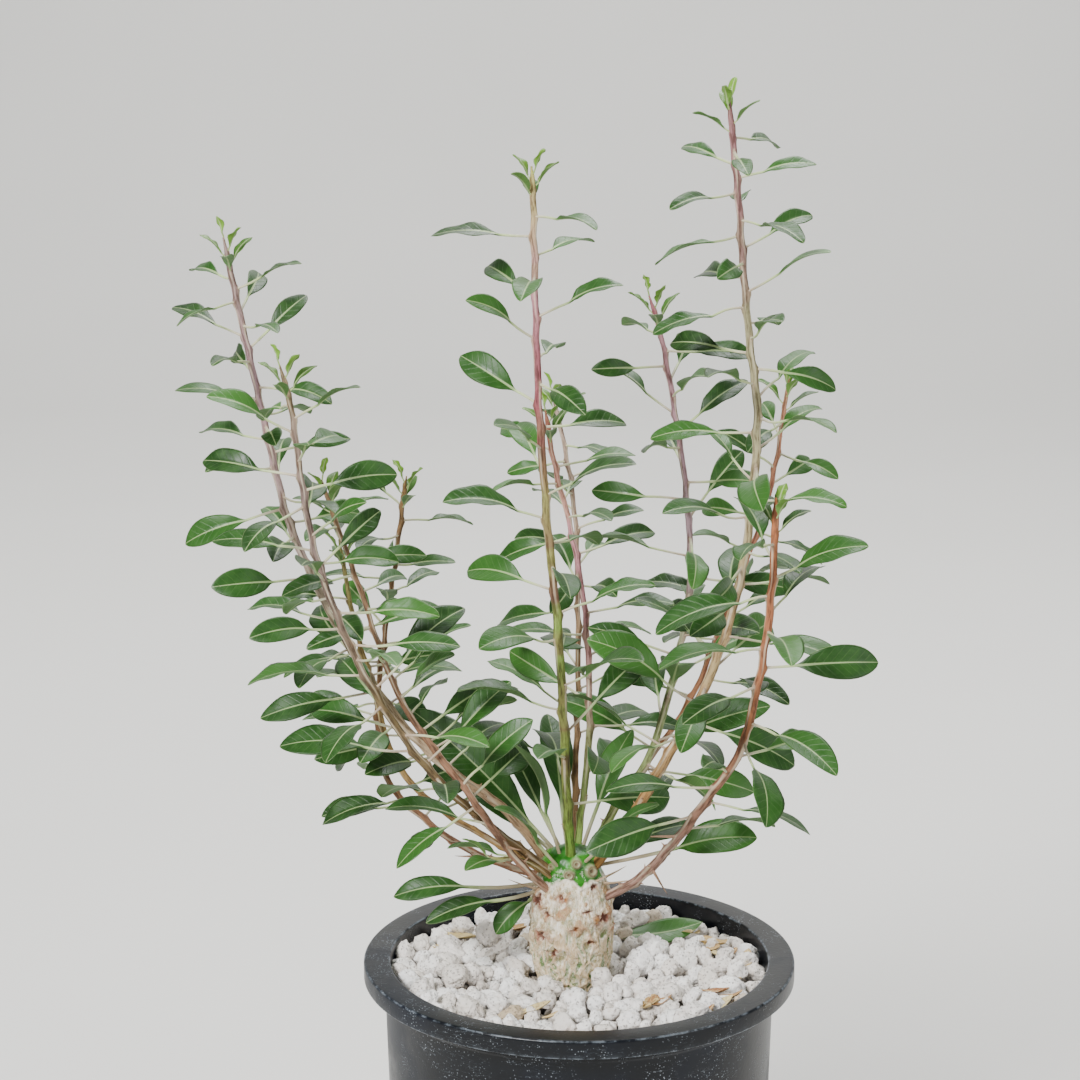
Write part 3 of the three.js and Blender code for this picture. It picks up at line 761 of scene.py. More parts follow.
def make_trunk():
    tubes = Tubes()
    rows, marks = trunk_rows()
    tubes.add(rows, **marks)
    plain = {name: 0.0 for name in marks}
    # Dry spines at the shoulders: bearing, height above the bed, climb and length.
    spines = [(205, 38, 22, 14), (190, 41, 38, 9), (232, 33, 8, 5), (338, 40, 12, 13),
              (352, 36, 4, 8), (318, 42, 30, 8), (20, 39, 18, 10), (70, 40, 25, 11),
              (120, 39, 20, 12), (160, 37, 15, 9)]
    for bearing, height, climb, length in spines:
        out = direction(bearing, climb)
        radius = float(trunk_radius(np.array(float(height)))) - 0.4
        foot = direction(bearing, 0) * radius + [trunk_centre[0], trunk_centre[1],
                                                surface + height]
        tubes.add(thorn_rows(foot, out, length, 0.5), **{**plain, "bark": 1.0, "stub": 1.0})
    return piece_from_tubes("boojum_trunk", tubes, bark_finish, ["trunk"])


make_trunk()

# %% [markdown]
# ## Where the leaves grow
# Leaves climb each shoot on a spiral of 137.5 degrees, one to a node, and turn aside where they
# would cross a neighbour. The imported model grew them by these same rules, so the rules are
# repeated here step for step, and each fine leaf lands where its plain solid is.

# %% The shoots
# Each route runs from inside the crown to the tip, in mm, with heights from the crown's top.
# foot and tip are the stem's radii, bare is its leafless length, spacing is the gap between
# nodes, stalk is a leaf stalk's length, low and high are blade lengths, phase is the first leaf's
# compass angle, thorny shoots keep their spines, and bark gives the colours from foot to tip.
SHOOTS = {
    "left_outer": dict(
        route=[(-11, 2, -9), (-27, 4, 11), (-53, 8, 30), (-74, 12, 53), (-95, 16, 88),
               (-110, 18, 123), (-119, 18, 165), (-126, 16, 201), (-131, 14, 229)],
        foot=2, tip=1.1, bare=61, spacing=6, stalk=15, low=28, high=17, phase=222,
        bark=["#a3835f", "#b39a7c", "#a3977a", "#a18c84", "#94767c", "#8f7a72"]),
    "left_inner": dict(
        route=[(-8, -5, -11), (-30, -14, 9), (-50, -20, 29), (-66, -24, 51), (-81, -26, 78),
               (-91, -26, 103), (-98, -26, 129), (-104, -22, 171), (-108, -20, 187)],
        foot=1.7, tip=1, bare=50, spacing=6.6, stalk=16, low=28, high=19, phase=1,
        bark=["#7d6543", "#6b5636", "#6a5a3c", "#6d5c50", "#7a6862", "#8a7a5a"]),
    "left_front": dict(
        route=[(-8, -6, -20), (-24, -17, 0), (-39, -22, 24), (-54, -17, 42), (-69, 1, 60),
               (-82, 19, 91), (-98, 26, 136)],
        foot=1.6, tip=0.8, bare=46, spacing=8.2, stalk=13, low=26, high=17, phase=69,
        thorny=True, bark=["#9a7660", "#8a6650", "#7c5a40", "#7f6248", "#8a7050"]),
    "left_back": dict(
        route=[(-8, 4, -16), (-29, 16, -14), (-45, 26, -10), (-61, 39, -3), (-76, 51, 10),
               (-80, 64, 39), (-74, 72, 85), (-68, 74, 128)],
        foot=1.6, tip=0.8, bare=57, spacing=7.6, stalk=13, low=25, high=15, phase=283,
        thorny=True, bark=["#9f7257", "#94694c", "#85603f", "#866448", "#8d7048"]),
    "left_middle": dict(
        route=[(-9, 0, -14), (-31, 6, -2), (-52, 15, 8), (-70, 28, 22), (-79, 38, 47),
               (-87, 43, 75), (-93, 44, 109)],
        foot=1.5, tip=0.8, bare=52, spacing=8, stalk=13, low=25, high=16, phase=346,
        bark=["#a8854f", "#a07f4e", "#94794a", "#8f7d4c", "#8a8a52"]),
    "low_sprig": dict(
        route=[(-8, -7, -13), (-20, -11, -3), (-31, -14, -1), (-43, -18, -2)],
        foot=1, tip=0.7, bare=17, spacing=5, stalk=9, low=22, high=20, phase=95,
        bark=["#9a7a50", "#8f8a55", "#8f9a55"]),
    "middle_front": dict(
        route=[(-3, -5, -6), (-5, -13, 23), (-6, -21, 51), (-9, -29, 97), (-13, -31, 139),
               (-16, -30, 187), (-17, -27, 231), (-18, -25, 258)],
        foot=2, tip=1.1, bare=27, spacing=9.2, stalk=14, low=28, high=20, phase=343,
        bark=["#5f8a2c", "#6e7f38", "#6f5d3c", "#7d9a45", "#7a5a48", "#8a8a4c", "#8a4a50",
              "#9a5f68", "#b08488", "#a8a35a"]),
    "middle": dict(
        route=[(-1, 4, -7), (2, 14, 18), (4, 21, 43), (3, 27, 76), (-2, 28, 111),
               (-9, 27, 139), (-13, 25, 163)],
        foot=1.5, tip=0.9, bare=32, spacing=8.4, stalk=14, low=27, high=17, phase=92,
        bark=["#7f9a4a", "#86935a", "#9a8a70", "#b07a80", "#ba858a", "#b98d7e", "#b0705c"]),
    "middle_back": dict(
        route=[(-2, 6, -9), (-1, 32, 17), (0, 53, 47), (0, 68, 84), (-2, 75, 121),
               (-10, 80, 161)],
        foot=1.4, tip=0.8, bare=45, spacing=8.2, stalk=13, low=26, high=15, phase=274,
        bark=["#8a6a48", "#8a6c4a", "#94785a", "#a38c7a", "#b09a8c"]),
    "right_inner": dict(
        route=[(3, 3, -7), (12, 7, 9), (27, 13, 32), (37, 17, 67), (42, 18, 103),
               (38, 17, 147), (30, 13, 191), (25, 11, 208)],
        foot=1.7, tip=0.9, bare=43, spacing=7.8, stalk=15, low=28, high=18, phase=198,
        bark=["#7a8a4a", "#84945a", "#8f9a6e", "#93807c", "#9a8088", "#a07a80", "#a0626a"]),
    "right_tall": dict(
        route=[(4, -3, -10), (18, -10, 12), (30, -15, 35), (44, -19, 63), (55, -20, 96),
               (61, -20, 131), (63, -19, 167), (59, -18, 203), (55, -18, 246), (51, -18, 282)],
        foot=2.1, tip=1.1, bare=61, spacing=6.4, stalk=15, low=28, high=18, phase=88,
        bark=["#96703c", "#a07c4c", "#a98b62", "#a09068", "#9a9270", "#8f8a68", "#8a6a64",
              "#9a6a70"]),
    "right_back": dict(
        route=[(3, 6, -10), (16, 24, 10), (31, 38, 26), (46, 50, 46), (62, 60, 85),
               (75, 62, 123), (82, 62, 169)],
        foot=1.4, tip=0.8, bare=46, spacing=8, stalk=13, low=26, high=16, phase=9,
        bark=["#8a6a48", "#966a4a", "#a06a4c", "#b0745c", "#b98a6a"]),
    "right_outer": dict(
        route=[(4, -2, -23), (20, -12, -11), (32, -25, 6), (44, -40, 29), (56, -52, 53),
               (63, -58, 87), (66, -58, 115), (67, -55, 146)],
        foot=1.9, tip=1.3, bare=62, spacing=7.6, stalk=14, low=25, high=29, phase=68,
        thorny=True, bark=["#9a7a6c", "#8f6f62", "#84604c", "#8a5a3a", "#985f40", "#a0623c"]),
}

# %% The long leaves of the crown
# foot is where the stalk starts, as for a route; the rest is its bearing, climb and roll in
# degrees, then the lengths of stalk and blade and the blade's width in mm.
CROWN_LEAVES = {
    "left_strap": ((-6, 6, -8), 162, 44, -55, 20, 62, 17),
    "left_strap_2": ((-6, 5, -10), 150, 34, -40, 19, 46, 13),
    "left_hanging": ((-11, 0, -16), 196, -35, -30, 11, 17, 9),
    "left_low": ((-10, -1, -14), 184, -3, -35, 34, 27, 10),
    "left_low_2": ((-9, -4, -14), 199, -9, -30, 27, 25, 9),
    "left_upright": ((-5, 6, -8), 138, 52, -30, 22, 40, 12),
    "centre_upright": ((-6, -4, -8), 205, 72, 0, 24, 32, 11),
    "centre_front": ((-6, -6, -9), 222, 48, -20, 20, 28, 10),
    "front_right": ((-1, -5, -8), 318, 44, 30, 22, 28, 11),
    "right_upright": ((0, 4, -7), 48, 60, 25, 22, 32, 11),
    "right_low": ((2, 1, -7), 20, 14, 35, 19, 28, 11),
    "right_broad": ((3, 0, -9), 345, 17, 45, 37, 30, 15),
    "right_back_low": ((2, 4, -9), 42, 28, 30, 25, 30, 11),
    "back_upright": ((-4, 6, -8), 100, 48, 0, 24, 40, 13),
}
crown_top = surface + crown_height
print(len(SHOOTS), "shoots and", len(CROWN_LEAVES), "crown leaves")


# %% A smooth route measured by its length
class Route:
    """A smooth line through points, asked for by distance from its foot."""

    def __init__(self, points):
        points = np.array(points, dtype=float)
        before, after = 2 * points[0] - points[1], 2 * points[-1] - points[-2]
        self.padded = np.concatenate([[before], points, [after]])
        self.last = len(points) - 1
        self.shares = np.linspace(0, 1, 201)
        steps = np.linalg.norm(np.diff(self.at_share(self.shares), axis=0), axis=1)
        self.lengths = np.concatenate([[0], np.cumsum(steps)])
        self.length = self.lengths[-1]

    def at_share(self, share):
        place = np.clip(share, 0, 1) * self.last
        piece = np.minimum(place.astype(int), self.last - 1)
        t = (place - piece)[..., None]
        a, b, c, d = (self.padded[piece + i] for i in range(4))
        leave, arrive = (c - a) / 2, (d - b) / 2
        square = (-3 * b + 3 * c - 2 * leave - arrive) * t ** 2
        return b + leave * t + square + (2 * b - 2 * c + leave + arrive) * t ** 3

    def share_at(self, length):
        return np.interp(length, self.lengths, self.shares)

    def at(self, length):
        return self.at_share(self.share_at(length))

    def heading(self, length):
        share = self.share_at(length)
        ahead = self.at_share(np.minimum(share + 1e-4, 1))
        behind = self.at_share(np.maximum(share - 1e-4, 0))
        return (ahead - behind) / np.linalg.norm(ahead - behind, axis=-1, keepdims=True)


# %% Seeded draws, and the room that leaves take
class Draws:
    """Park and Miller's generator, which grows the same plant every time."""
    state = 20261

    def spread(self, reach):
        self.state = self.state * 16807 % 2147483647
        return (self.state / 2147483647 - 0.5) * 2 * reach


draws = Draws()
SAMPLING = 5
TOUCHING = 3.7
taken = {"at": np.zeros((0, 3)), "stem": np.zeros(0, bool), "owner": np.zeros(0, int)}


def take_room(points, owner, stem):
    taken["at"] = np.concatenate([taken["at"], points])
    taken["stem"] = np.concatenate([taken["stem"], np.full(len(points), stem)])
    taken["owner"] = np.concatenate([taken["owner"], np.full(len(points), owner)])


def is_clear(points, stalk, owner):
    """Whether points are all further than TOUCHING from what is taken already."""
    gaps = np.linalg.norm(points[:, None] - taken["at"][None], axis=2)
    own = (taken["owner"] == owner)[None] & (stalk[:, None] | taken["stem"][None])
    return bool(np.all(own | (gaps > TOUCHING)))


# %% A leaf's own directions, midrib and sample points
ARCH, DROOP = 0.3, 0.42
FACING = 34  # how far leaves tilt their faces to the light, which comes from the front


def leaf_frame(bearing, climb, stem=None, roll=0.0):
    """out along the stalk, side across the blade and rise through it, from angles in degrees."""
    out = direction(bearing, 0)
    if stem is not None:
        out = out - 0.7 * out.dot(stem) * stem
    climb = math.radians(climb)
    out = out / np.linalg.norm(out) * math.cos(climb) + [0, 0, math.sin(climb)]
    out /= np.linalg.norm(out)
    side = np.cross(out, [0, 0, 1.0])
    side /= np.linalg.norm(side)
    roll = math.radians(roll)
    side = side * math.cos(roll) + np.cross(out, side) * math.sin(roll)
    return out, side, np.cross(side, out)


def midrib(leaf, share):
    """A point on the midrib. share is below 0 on the stalk and 0 to 1 on the blade."""
    share = np.asarray(share, dtype=float)
    along = np.where(share < 0, leaf["stalk"] * (1 + share), leaf["stalk"] + leaf["blade"] * share)
    bow = np.maximum(share, 0)
    lift = leaf["blade"] * (ARCH * bow - DROOP * bow * bow)
    return leaf["foot"] + along[..., None] * leaf["out"] + lift[..., None] * leaf["rise"]


def leaf_samples(leaf):
    """Points that stand for a leaf, and which of them are on its stalk."""
    rows = math.ceil(leaf["blade"] / SAMPLING)
    columns = math.ceil(leaf["width"] / SAMPLING)
    points = [midrib(leaf, [-0.5, -0.2])]
    for row in range(rows + 1):
        half = 0.5 * leaf["width"] * math.sin(math.pi * (0.06 + 0.9 * row / rows))
        across = half * (2 * np.arange(columns + 1) / columns - 1)
        points.append(midrib(leaf, row / rows) + across[:, None] * leaf["side"])
    points = np.concatenate(points)
    return points, np.arange(len(points)) < 2


# %% The nodes up a shoot
TUFT_LEAVES, TUFT_HEIGHT = 6, 12
CROWDED_FOOT, CROWDED_TIP = 1.15, 0.7  # gaps and stalks shrink from the foot to the tip


def leaf_nodes(shoot, length):
    """Spiral nodes, each with the length of its blade and stalk, and a tuft at the tip."""
    nodes, bearing, at = [], shoot["phase"], shoot["bare"]
    while at < length - TUFT_HEIGHT:
        share = (at - shoot["bare"]) / (length - shoot["bare"])
        blade = (shoot["low"] + (shoot["high"] - shoot["low"]) * share) * (1 + draws.spread(0.16))
        crowd = CROWDED_FOOT + (CROWDED_TIP - CROWDED_FOOT) * share
        stalk = shoot["stalk"] * crowd * (1 + draws.spread(0.2))
        roll = FACING * math.cos(math.radians(bearing)) + draws.spread(36)
        climb = 10 + draws.spread(24)
        nodes.append(dict(at=at, bearing=bearing, blade=blade, stalk=stalk, climb=climb,
                          roll=roll, young=0.0))
        bearing += GOLDEN
        at += shoot["spacing"] * crowd
    for share in np.linspace(0, 1, TUFT_LEAVES):
        nodes.append(dict(at=length - TUFT_HEIGHT * (1 - share) - 1, bearing=bearing, stalk=3,
                          roll=0, blade=13 - 6 * share, climb=35 + 37 * share,
                          young=0.35 + 0.65 * share))
        bearing += GOLDEN
    return nodes


def place_leaf(leaf, stem, owner):
    """Turns a leaf about its shoot until it is clear, and gives up after a full turn."""
    for turn in range(16):
        way = 1 if turn % 2 else -1
        bearing = leaf["bearing"] + way * math.ceil(turn / 2) * 22
        leaf["out"], leaf["side"], leaf["rise"] = leaf_frame(bearing, leaf["climb"], stem,
                                                             leaf["roll"])
        points, stalk = leaf_samples(leaf)
        if is_clear(points, stalk, owner):
            take_room(points, owner, False)
            return True
    return False


# %% Grow the spines and leaves of one shoot
def grow_spines(shoot, route, owner):
    grown, bearing, at = [], shoot["phase"] + 90, 24
    while at < shoot["bare"]:
        out, side, rise = leaf_frame(bearing, 10, route.heading(at))
        spine = dict(foot=route.at(at), out=out, rise=rise, blade=0, at=at,
                     stalk=15 * (1 + draws.spread(0.25)))
        bearing += GOLDEN
        at += 11
        points = midrib(spine, [-0.65, -0.3, 0])
        if is_clear(points, np.ones(3, bool), owner):
            take_room(points, owner, False)
            grown.append(spine)
    return grown


def grow_leaves(shoot, route, owner):
    grown = []
    for leaf in leaf_nodes(shoot, route.length):
        leaf["foot"] = route.at(leaf["at"])
        leaf["width"] = leaf["blade"] * 0.43 * (1 + draws.spread(0.12))
        if place_leaf(leaf, route.heading(leaf["at"]), owner):
            grown.append(leaf)
    return grown


# %% Grow the whole plant
routes = {name: Route(np.array(shoot["route"]) + [0, 0, crown_top])
          for name, shoot in SHOOTS.items()}
for owner, route in enumerate(routes.values()):
    count = round(route.length / TOUCHING)
    take_room(route.at(route.length * np.arange(count + 1) / count), owner, True)

crown_leaves = {}
for owner, (name, spec) in enumerate(CROWN_LEAVES.items(), start=100):
    foot, bearing, climb, roll, stalk, blade, width = spec
    out, side, rise = leaf_frame(bearing, climb, roll=roll)
    leaf = dict(foot=np.array(foot) + [0, 0, crown_top], out=out, side=side, rise=rise,
                stalk=stalk, blade=blade, width=width, young=0.25)
    take_room(leaf_samples(leaf)[0], owner, False)
    crown_leaves[name] = leaf

shoot_spines, shoot_leaves = {}, {}
for owner, (name, shoot) in enumerate(SHOOTS.items()):
    thorny = shoot.get("thorny", False)
    shoot_spines[name] = grow_spines(shoot, routes[name], owner) if thorny else []
    shoot_leaves[name] = grow_leaves(shoot, routes[name], owner)
print("leaves grown:", sum(len(leaves) for leaves in shoot_leaves.values()))

# %% [markdown]
# ## Leaves
# A boojum tree's leaf is a narrow ellipse with a pointed tip on a long pale stalk. It is folded a
# little along its midrib, arches out and droops at the tip, and its margin waves. Each leaf is
# one tube that starts round at the stalk and flattens into the blade, so that stalk, rib and
# margin are continuous, as they are on the plant.

# %% One leaf
ACROSS = np.array([-1, -0.84, -0.58, -0.25, 0, 0.25, 0.58, 0.84, 1])
RING = np.concatenate([ACROSS, ACROSS[-2:0:-1]])
TOP = np.concatenate([[0], np.ones(7), [0], -np.ones(7)])
STALK_SHARES = [-1, -0.94, -0.82, -0.6, -0.38, -0.18, -0.07]
BLADE_SHARES = [0, 0.035, 0.08, 0.14, 0.21, 0.29, 0.37, 0.45, 0.53, 0.61, 0.69, 0.76, 0.82,
                0.87, 0.91, 0.945, 0.97, 0.988, 0.998]


def half_width(share, width):
    """Half the blade's width: wedge-shaped foot, widest past the middle, pointed tip."""
    foot_power, tip_power = 0.92, 0.72
    widest = foot_power / (foot_power + tip_power)
    most = widest ** foot_power * (1 - widest) ** tip_power
    share = np.clip(share, 0, 1)
    return 0.5 * width * share ** foot_power * (1 - share) ** tip_power / most


def unit(vectors):
    return vectors / np.maximum(np.linalg.norm(vectors, axis=-1, keepdims=True), 1e-9)


def leaf_rows(leaf, stalk_radius=0.5, thickness=0.34):
    """Rows of points from the foot of the stalk to the tip of the blade, and their marks."""
    share = np.array(STALK_SHARES + BLADE_SHARES)
    fold, sway, twist = look.uniform(0.1, 0.42), look.normal(0, 0.05), look.normal(0, 0.2)
    waves, phase, ripple = look.uniform(1.2, 2.6), look.uniform(0, 6.3), look.uniform(0.15, 0.5)
    sag = look.normal(0, 0.04)
    bow = np.maximum(share, 0)
    centre = midrib(leaf, share)
    centre += (leaf["blade"] * sway * bow ** 2)[:, None] * leaf["side"]
    centre += (leaf["stalk"] * sag * np.sin(math.pi * np.minimum(share + 1, 1)))[:, None] * \
        leaf["rise"]
    heading = unit(np.gradient(centre, share, axis=0))
    turn = twist * bow
    side = leaf["side"] * np.cos(turn)[:, None] + leaf["rise"] * np.sin(turn)[:, None]
    rise = unit(np.cross(side, heading))
    side = unit(np.cross(heading, rise))
    flat = fade(share, -0.1, 0.2)[:, None]
    radius = stalk_radius * (1 + 0.9 * bell(share + 1, 0.07))[:, None]
    half = half_width(share, leaf["width"])[:, None] + radius * (1 - flat) * 0.9
    sine = np.sin(RING * math.pi / 2)
    across = radius * sine * (1 - flat) + half * RING * flat
    edge = 1 - RING ** 2
    level = TOP * 0.5 * thickness * np.sqrt(edge) + fold * np.abs(across)
    level = level - 0.4 * fold * np.abs(across) * bow[:, None] ** 2
    level += ripple * RING ** 2 * np.sign(RING) * np.sin(waves * 2 * math.pi * bow + phase)[:, None]
    rib = bell(across, 0.75) * (1 - 0.75 * bow[:, None])
    level += np.where(TOP < 0, -0.5, -0.16) * rib
    stalk_level = radius * TOP * np.cos(RING * math.pi / 2) * np.where(TOP > 0, 0.75, 1)
    level = stalk_level * (1 - flat) + level * flat
    level *= np.where(share > 0.98, 0.4, 1)[:, None]
    rows = centre[:, None] + across[..., None] * side[:, None] + level[..., None] * rise[:, None]
    along = np.where(share < 0, leaf["stalk"] * share, leaf["blade"] * share)
    marks = {"across": across, "along": along[:, None], "under": (TOP < 0) * 1.0,
             "margin": np.where(share[:, None] > 0.02, half - np.abs(across), 2.0),
             "tone": look.uniform(0, 1), "young": leaf["young"], "tip": bow[:, None],
             "stalky": fade(share, 0.02, -0.12)[:, None]}
    return rows, marks


# %% Leaf finish: satin leaf with a pale midrib
# A leaf's waxy skin has an IOR of about 1.42 and a satin gloss. The midrib, the thin margin and
# the stalk are pale because they hold no chlorophyll, and the underside is paler than the top.
def waxy_leaf():
    finish, shader, add = new_finish("waxy_leaf")
    across, along, tone, margin, under, young, tip, stalky = (
        add("Attribute", output="Fac", attribute_name=name)
        for name in ("across", "along", "tone", "margin", "under", "young", "tip", "stalky"))
    place = add("TexCoord", output="Object")
    aside = add("Math", {0: across}, operation="ABSOLUTE")
    colour = add("ValToRGB", {
        "Fac": tone,
    }, [(0.0, "#142f0a"), (0.35, "#1c3f10"), (0.7, "#275018"), (1.0, "#376423")])
    mottle = add("TexNoise", {"Vector": place, "Scale": per_mm(5), "Detail": 5.0, "Roughness": 0.6})
    colour = add("Mix", {
        "Factor": add("MapRange", {
            "Value": mottle, "From Min": 0.35, "From Max": 0.7, "To Min": 0, "To Max": 0.35,
        }, interpolation_type=SOFT),
        6: colour, 7: "#35601f",
    }, output=COLOUR_OUT, data_type="RGBA")
    # Side veins leave the midrib every 3 mm and slant towards the tip.
    slant = add("Math", {
        0: along, 1: add("Math", {0: aside, 1: 0.9}, operation="MULTIPLY"),
    }, operation="SUBTRACT")
    bands = add("Math", {0: slant, 1: 1.5}, operation="PINGPONG")
    vein = add("Math", {
        0: add("MapRange", {
            "Value": bands, "From Min": 0.34, "From Max": 0.05,
        }, interpolation_type=SOFT),
        1: add("MapRange", {
            "Value": margin, "From Min": 0.2, "From Max": 1.2,
        }, interpolation_type=SOFT),
    }, operation="MULTIPLY")
    colour = add("Mix", {
        "Factor": add("Math", {0: vein, 1: 0.07}, operation="MULTIPLY"), 6: colour, 7: "#6f9150",
    }, output=COLOUR_OUT, data_type="RGBA")
    colour = add("Mix", {
        "Factor": add("Math", {0: under, 1: 0.6}, operation="MULTIPLY"), 6: colour, 7: "#587a44",
    }, output=COLOUR_OUT, data_type="RGBA")
    colour = add("Mix", {
        "Factor": add("MapRange", {
            "Value": young, "From Min": 0.3, "From Max": 1.0, "To Min": 0, "To Max": 0.85,
        }, interpolation_type=SOFT),
        6: colour, 7: "#6f9a2c",
    }, output=COLOUR_OUT, data_type="RGBA")
    # The midrib is 0.5 mm wide at its foot and fades out before the tip.
    taper = add("Math", {0: tip, 1: 0.35}, operation="MULTIPLY")
    rib = add("MapRange", {
        "Value": add("Math", {0: aside, 1: taper}, operation="ADD"), "From Min": 0.58,
        "From Max": 0.3,
    }, interpolation_type=SOFT)
    colour = add("Mix", {
        "Factor": add("Math", {0: rib, 1: 0.7}, operation="MULTIPLY"), 6: colour, 7: "#9fb37c",
    }, output=COLOUR_OUT, data_type="RGBA")
    margin = add("MapRange", {
        "Value": margin, "From Min": 0.26, "From Max": 0.1,
    }, interpolation_type=SOFT)
    colour = add("Mix", {
        "Factor": add("Math", {0: margin, 1: 0.5}, operation="MULTIPLY"), 6: colour, 7: "#8fa473",
    }, output=COLOUR_OUT, data_type="RGBA")
    stalk = add("ValToRGB", {
        "Fac": add("MapRange", {
            "Value": along, "From Min": -15, "From Max": -1,
        }, interpolation_type=SOFT),
    }, [(0.0, "#a38f7c"), (0.45, "#b7b196"), (1.0, "#aebd86")])
    stalk = add("Mix", {
        "Factor": add("Math", {0: young, 1: 0.7}, operation="MULTIPLY"), 6: stalk, 7: "#8fa552",
    }, output=COLOUR_OUT, data_type="RGBA")
    colour = add("Mix", {
        "Factor": stalky, 6: colour, 7: stalk,
    }, output=COLOUR_OUT, data_type="RGBA")
    rough = add("Math", {
        0: add("MapRange", {
            "Value": mottle, "From Min": 0.3, "From Max": 0.7, "To Min": 0.34, "To Max": 0.48,
        }, interpolation_type=SOFT),
        1: add("Math", {0: under, 1: 0.16}, operation="MULTIPLY"),
    }, operation="ADD")
    skin = add("Bump", {
        "Height": add("TexNoise", {
            "Vector": place, "Scale": per_mm(0.6), "Detail": 3.0, "Roughness": 0.55,
        }),
        "Distance": 0.04 * MM, "Strength": 1.0,
    })
    set_inputs(shader, {
        "Base Color": colour, "Roughness": rough, "IOR": 1.42, "Specular IOR Level": 0.42,
        "Normal": add("Bump", {
            "Height": vein, "Distance": -0.05 * MM, "Normal": skin, "Strength": 1.0,
        }),
    })
    return finish


leaf_finish = waxy_leaf()

# %% The leaves of every shoot
for name, leaves in shoot_leaves.items():
    tubes = Tubes()
    for leaf in leaves:
        rows, marks = leaf_rows(leaf, stalk_radius=0.3 if leaf["young"] else 0.5)
        tubes.add(rows, **marks)
    piece_from_tubes(f"leaves_{name}", tubes, leaf_finish, [f"shoot_{name}"])

# %% [markdown]
# ## Long leaves of the crown
# The first leaves rise straight from the crown and grow far larger than those on the shoots. The
# long straps on the left are the broadest. They are built as the other leaves are, each as a
# piece of its own, with a stouter stalk.

# %% Crown leaves
for name, leaf in crown_leaves.items():
    tubes = Tubes()
    rows, marks = leaf_rows(leaf, stalk_radius=0.75, thickness=0.45)
    tubes.add(rows, **marks)
    piece_from_tubes(f"crown_leaf_{name}_blade", tubes, leaf_finish,
                     [f"crown_leaf_{name}"])

# %% [markdown]
# ## Stems
# A shoot's stem is ribbed: from below each leaf a ridge runs down past two or three older nodes,
# and the node itself swells. The bark's colour changes from node to node, from green or mauve
# where it is young to tan and brown where it is old. Bare stems keep the stubs of old stalks, and
# on some shoots long sharp thorns.

# %% Stem finish: ribbed young bark
# Young bark is matte with fine fibres along the stem. Its ridges are paler than the grooves.
def ribbed_stem_bark():
    finish, shader, add = new_finish("ribbed_stem_bark")
    ridge, knot, thorn, point = (
        add("Attribute", output="Fac", attribute_name=name)
        for name in ("ridge", "knot", "thorn", "point"))
    tint = add("Attribute", output="Color", attribute_name="tint")
    fibre_place = add("Attribute", output="Vector", attribute_name="fibre")
    fibre = add("TexNoise", {
        "Vector": fibre_place, "Scale": per_mm(0.9), "Detail": 5.0, "Roughness": 0.65,
    })
    blotch = add("TexNoise", {
        "Vector": add("TexCoord", output="Object"), "Scale": per_mm(6), "Detail": 3.0,
        "Roughness": 0.6,
    })
    dark = add("Mix", {
        "Factor": 1.0, 6: tint, 7: "#9a8f86",
    }, output=COLOUR_OUT, data_type="RGBA", blend_type="MULTIPLY")
    colour = add("Mix", {
        "Factor": add("MapRange", {
            "Value": fibre, "From Min": 0.58, "From Max": 0.36,
        }, interpolation_type=SOFT),
        6: tint, 7: dark,
    }, output=COLOUR_OUT, data_type="RGBA")
    colour = add("Mix", {
        "Factor": add("MapRange", {
            "Value": ridge, "From Min": 0.25, "From Max": 0.85, "To Min": 0, "To Max": 0.55,
        }, interpolation_type=SOFT),
        6: colour, 7: "#d6c9ae",
    }, output=COLOUR_OUT, data_type="RGBA")
    colour = add("Mix", {
        "Factor": add("MapRange", {
            "Value": blotch, "From Min": 0.55, "From Max": 0.75, "To Min": 0, "To Max": 0.4,
        }, interpolation_type=SOFT),
        6: colour, 7: dark,
    }, output=COLOUR_OUT, data_type="RGBA")
    colour = add("Mix", {
        "Factor": add("Math", {0: knot, 1: 0.5}, operation="MULTIPLY"), 6: colour, 7: "#7a6048",
    }, output=COLOUR_OUT, data_type="RGBA")
    colour = add("Mix", {
        "Factor": thorn, 6: colour, 7: "#a58468",
    }, output=COLOUR_OUT, data_type="RGBA")
    colour = add("Mix", {
        "Factor": point, 6: colour, 7: "#4b362a",
    }, output=COLOUR_OUT, data_type="RGBA")
    set_inputs(shader, {
        "Base Color": colour,
        "Roughness": add("MapRange", {
            "Value": fibre, "From Min": 0.3, "From Max": 0.7, "To Min": 0.62, "To Max": 0.8,
        }, interpolation_type=SOFT),
        "IOR": 1.45, "Specular IOR Level": 0.35,
        "Normal": add("Bump", {"Height": fibre, "Distance": 0.14 * MM, "Strength": 1.0}),
    })
    return finish


stem_finish = ribbed_stem_bark()

# %% One stem
def carried_frames(heading):
    """Sideways directions that follow a line without twisting about it."""
    first = unit(np.cross(heading[0], [0, 1.0, 0.2]))
    normals = [first]
    for ahead in heading[1:]:
        normal = normals[-1] - ahead * normals[-1].dot(ahead)
        normals.append(normal / np.linalg.norm(normal))
    normals = np.array(normals)
    return normals, np.cross(heading, normals)


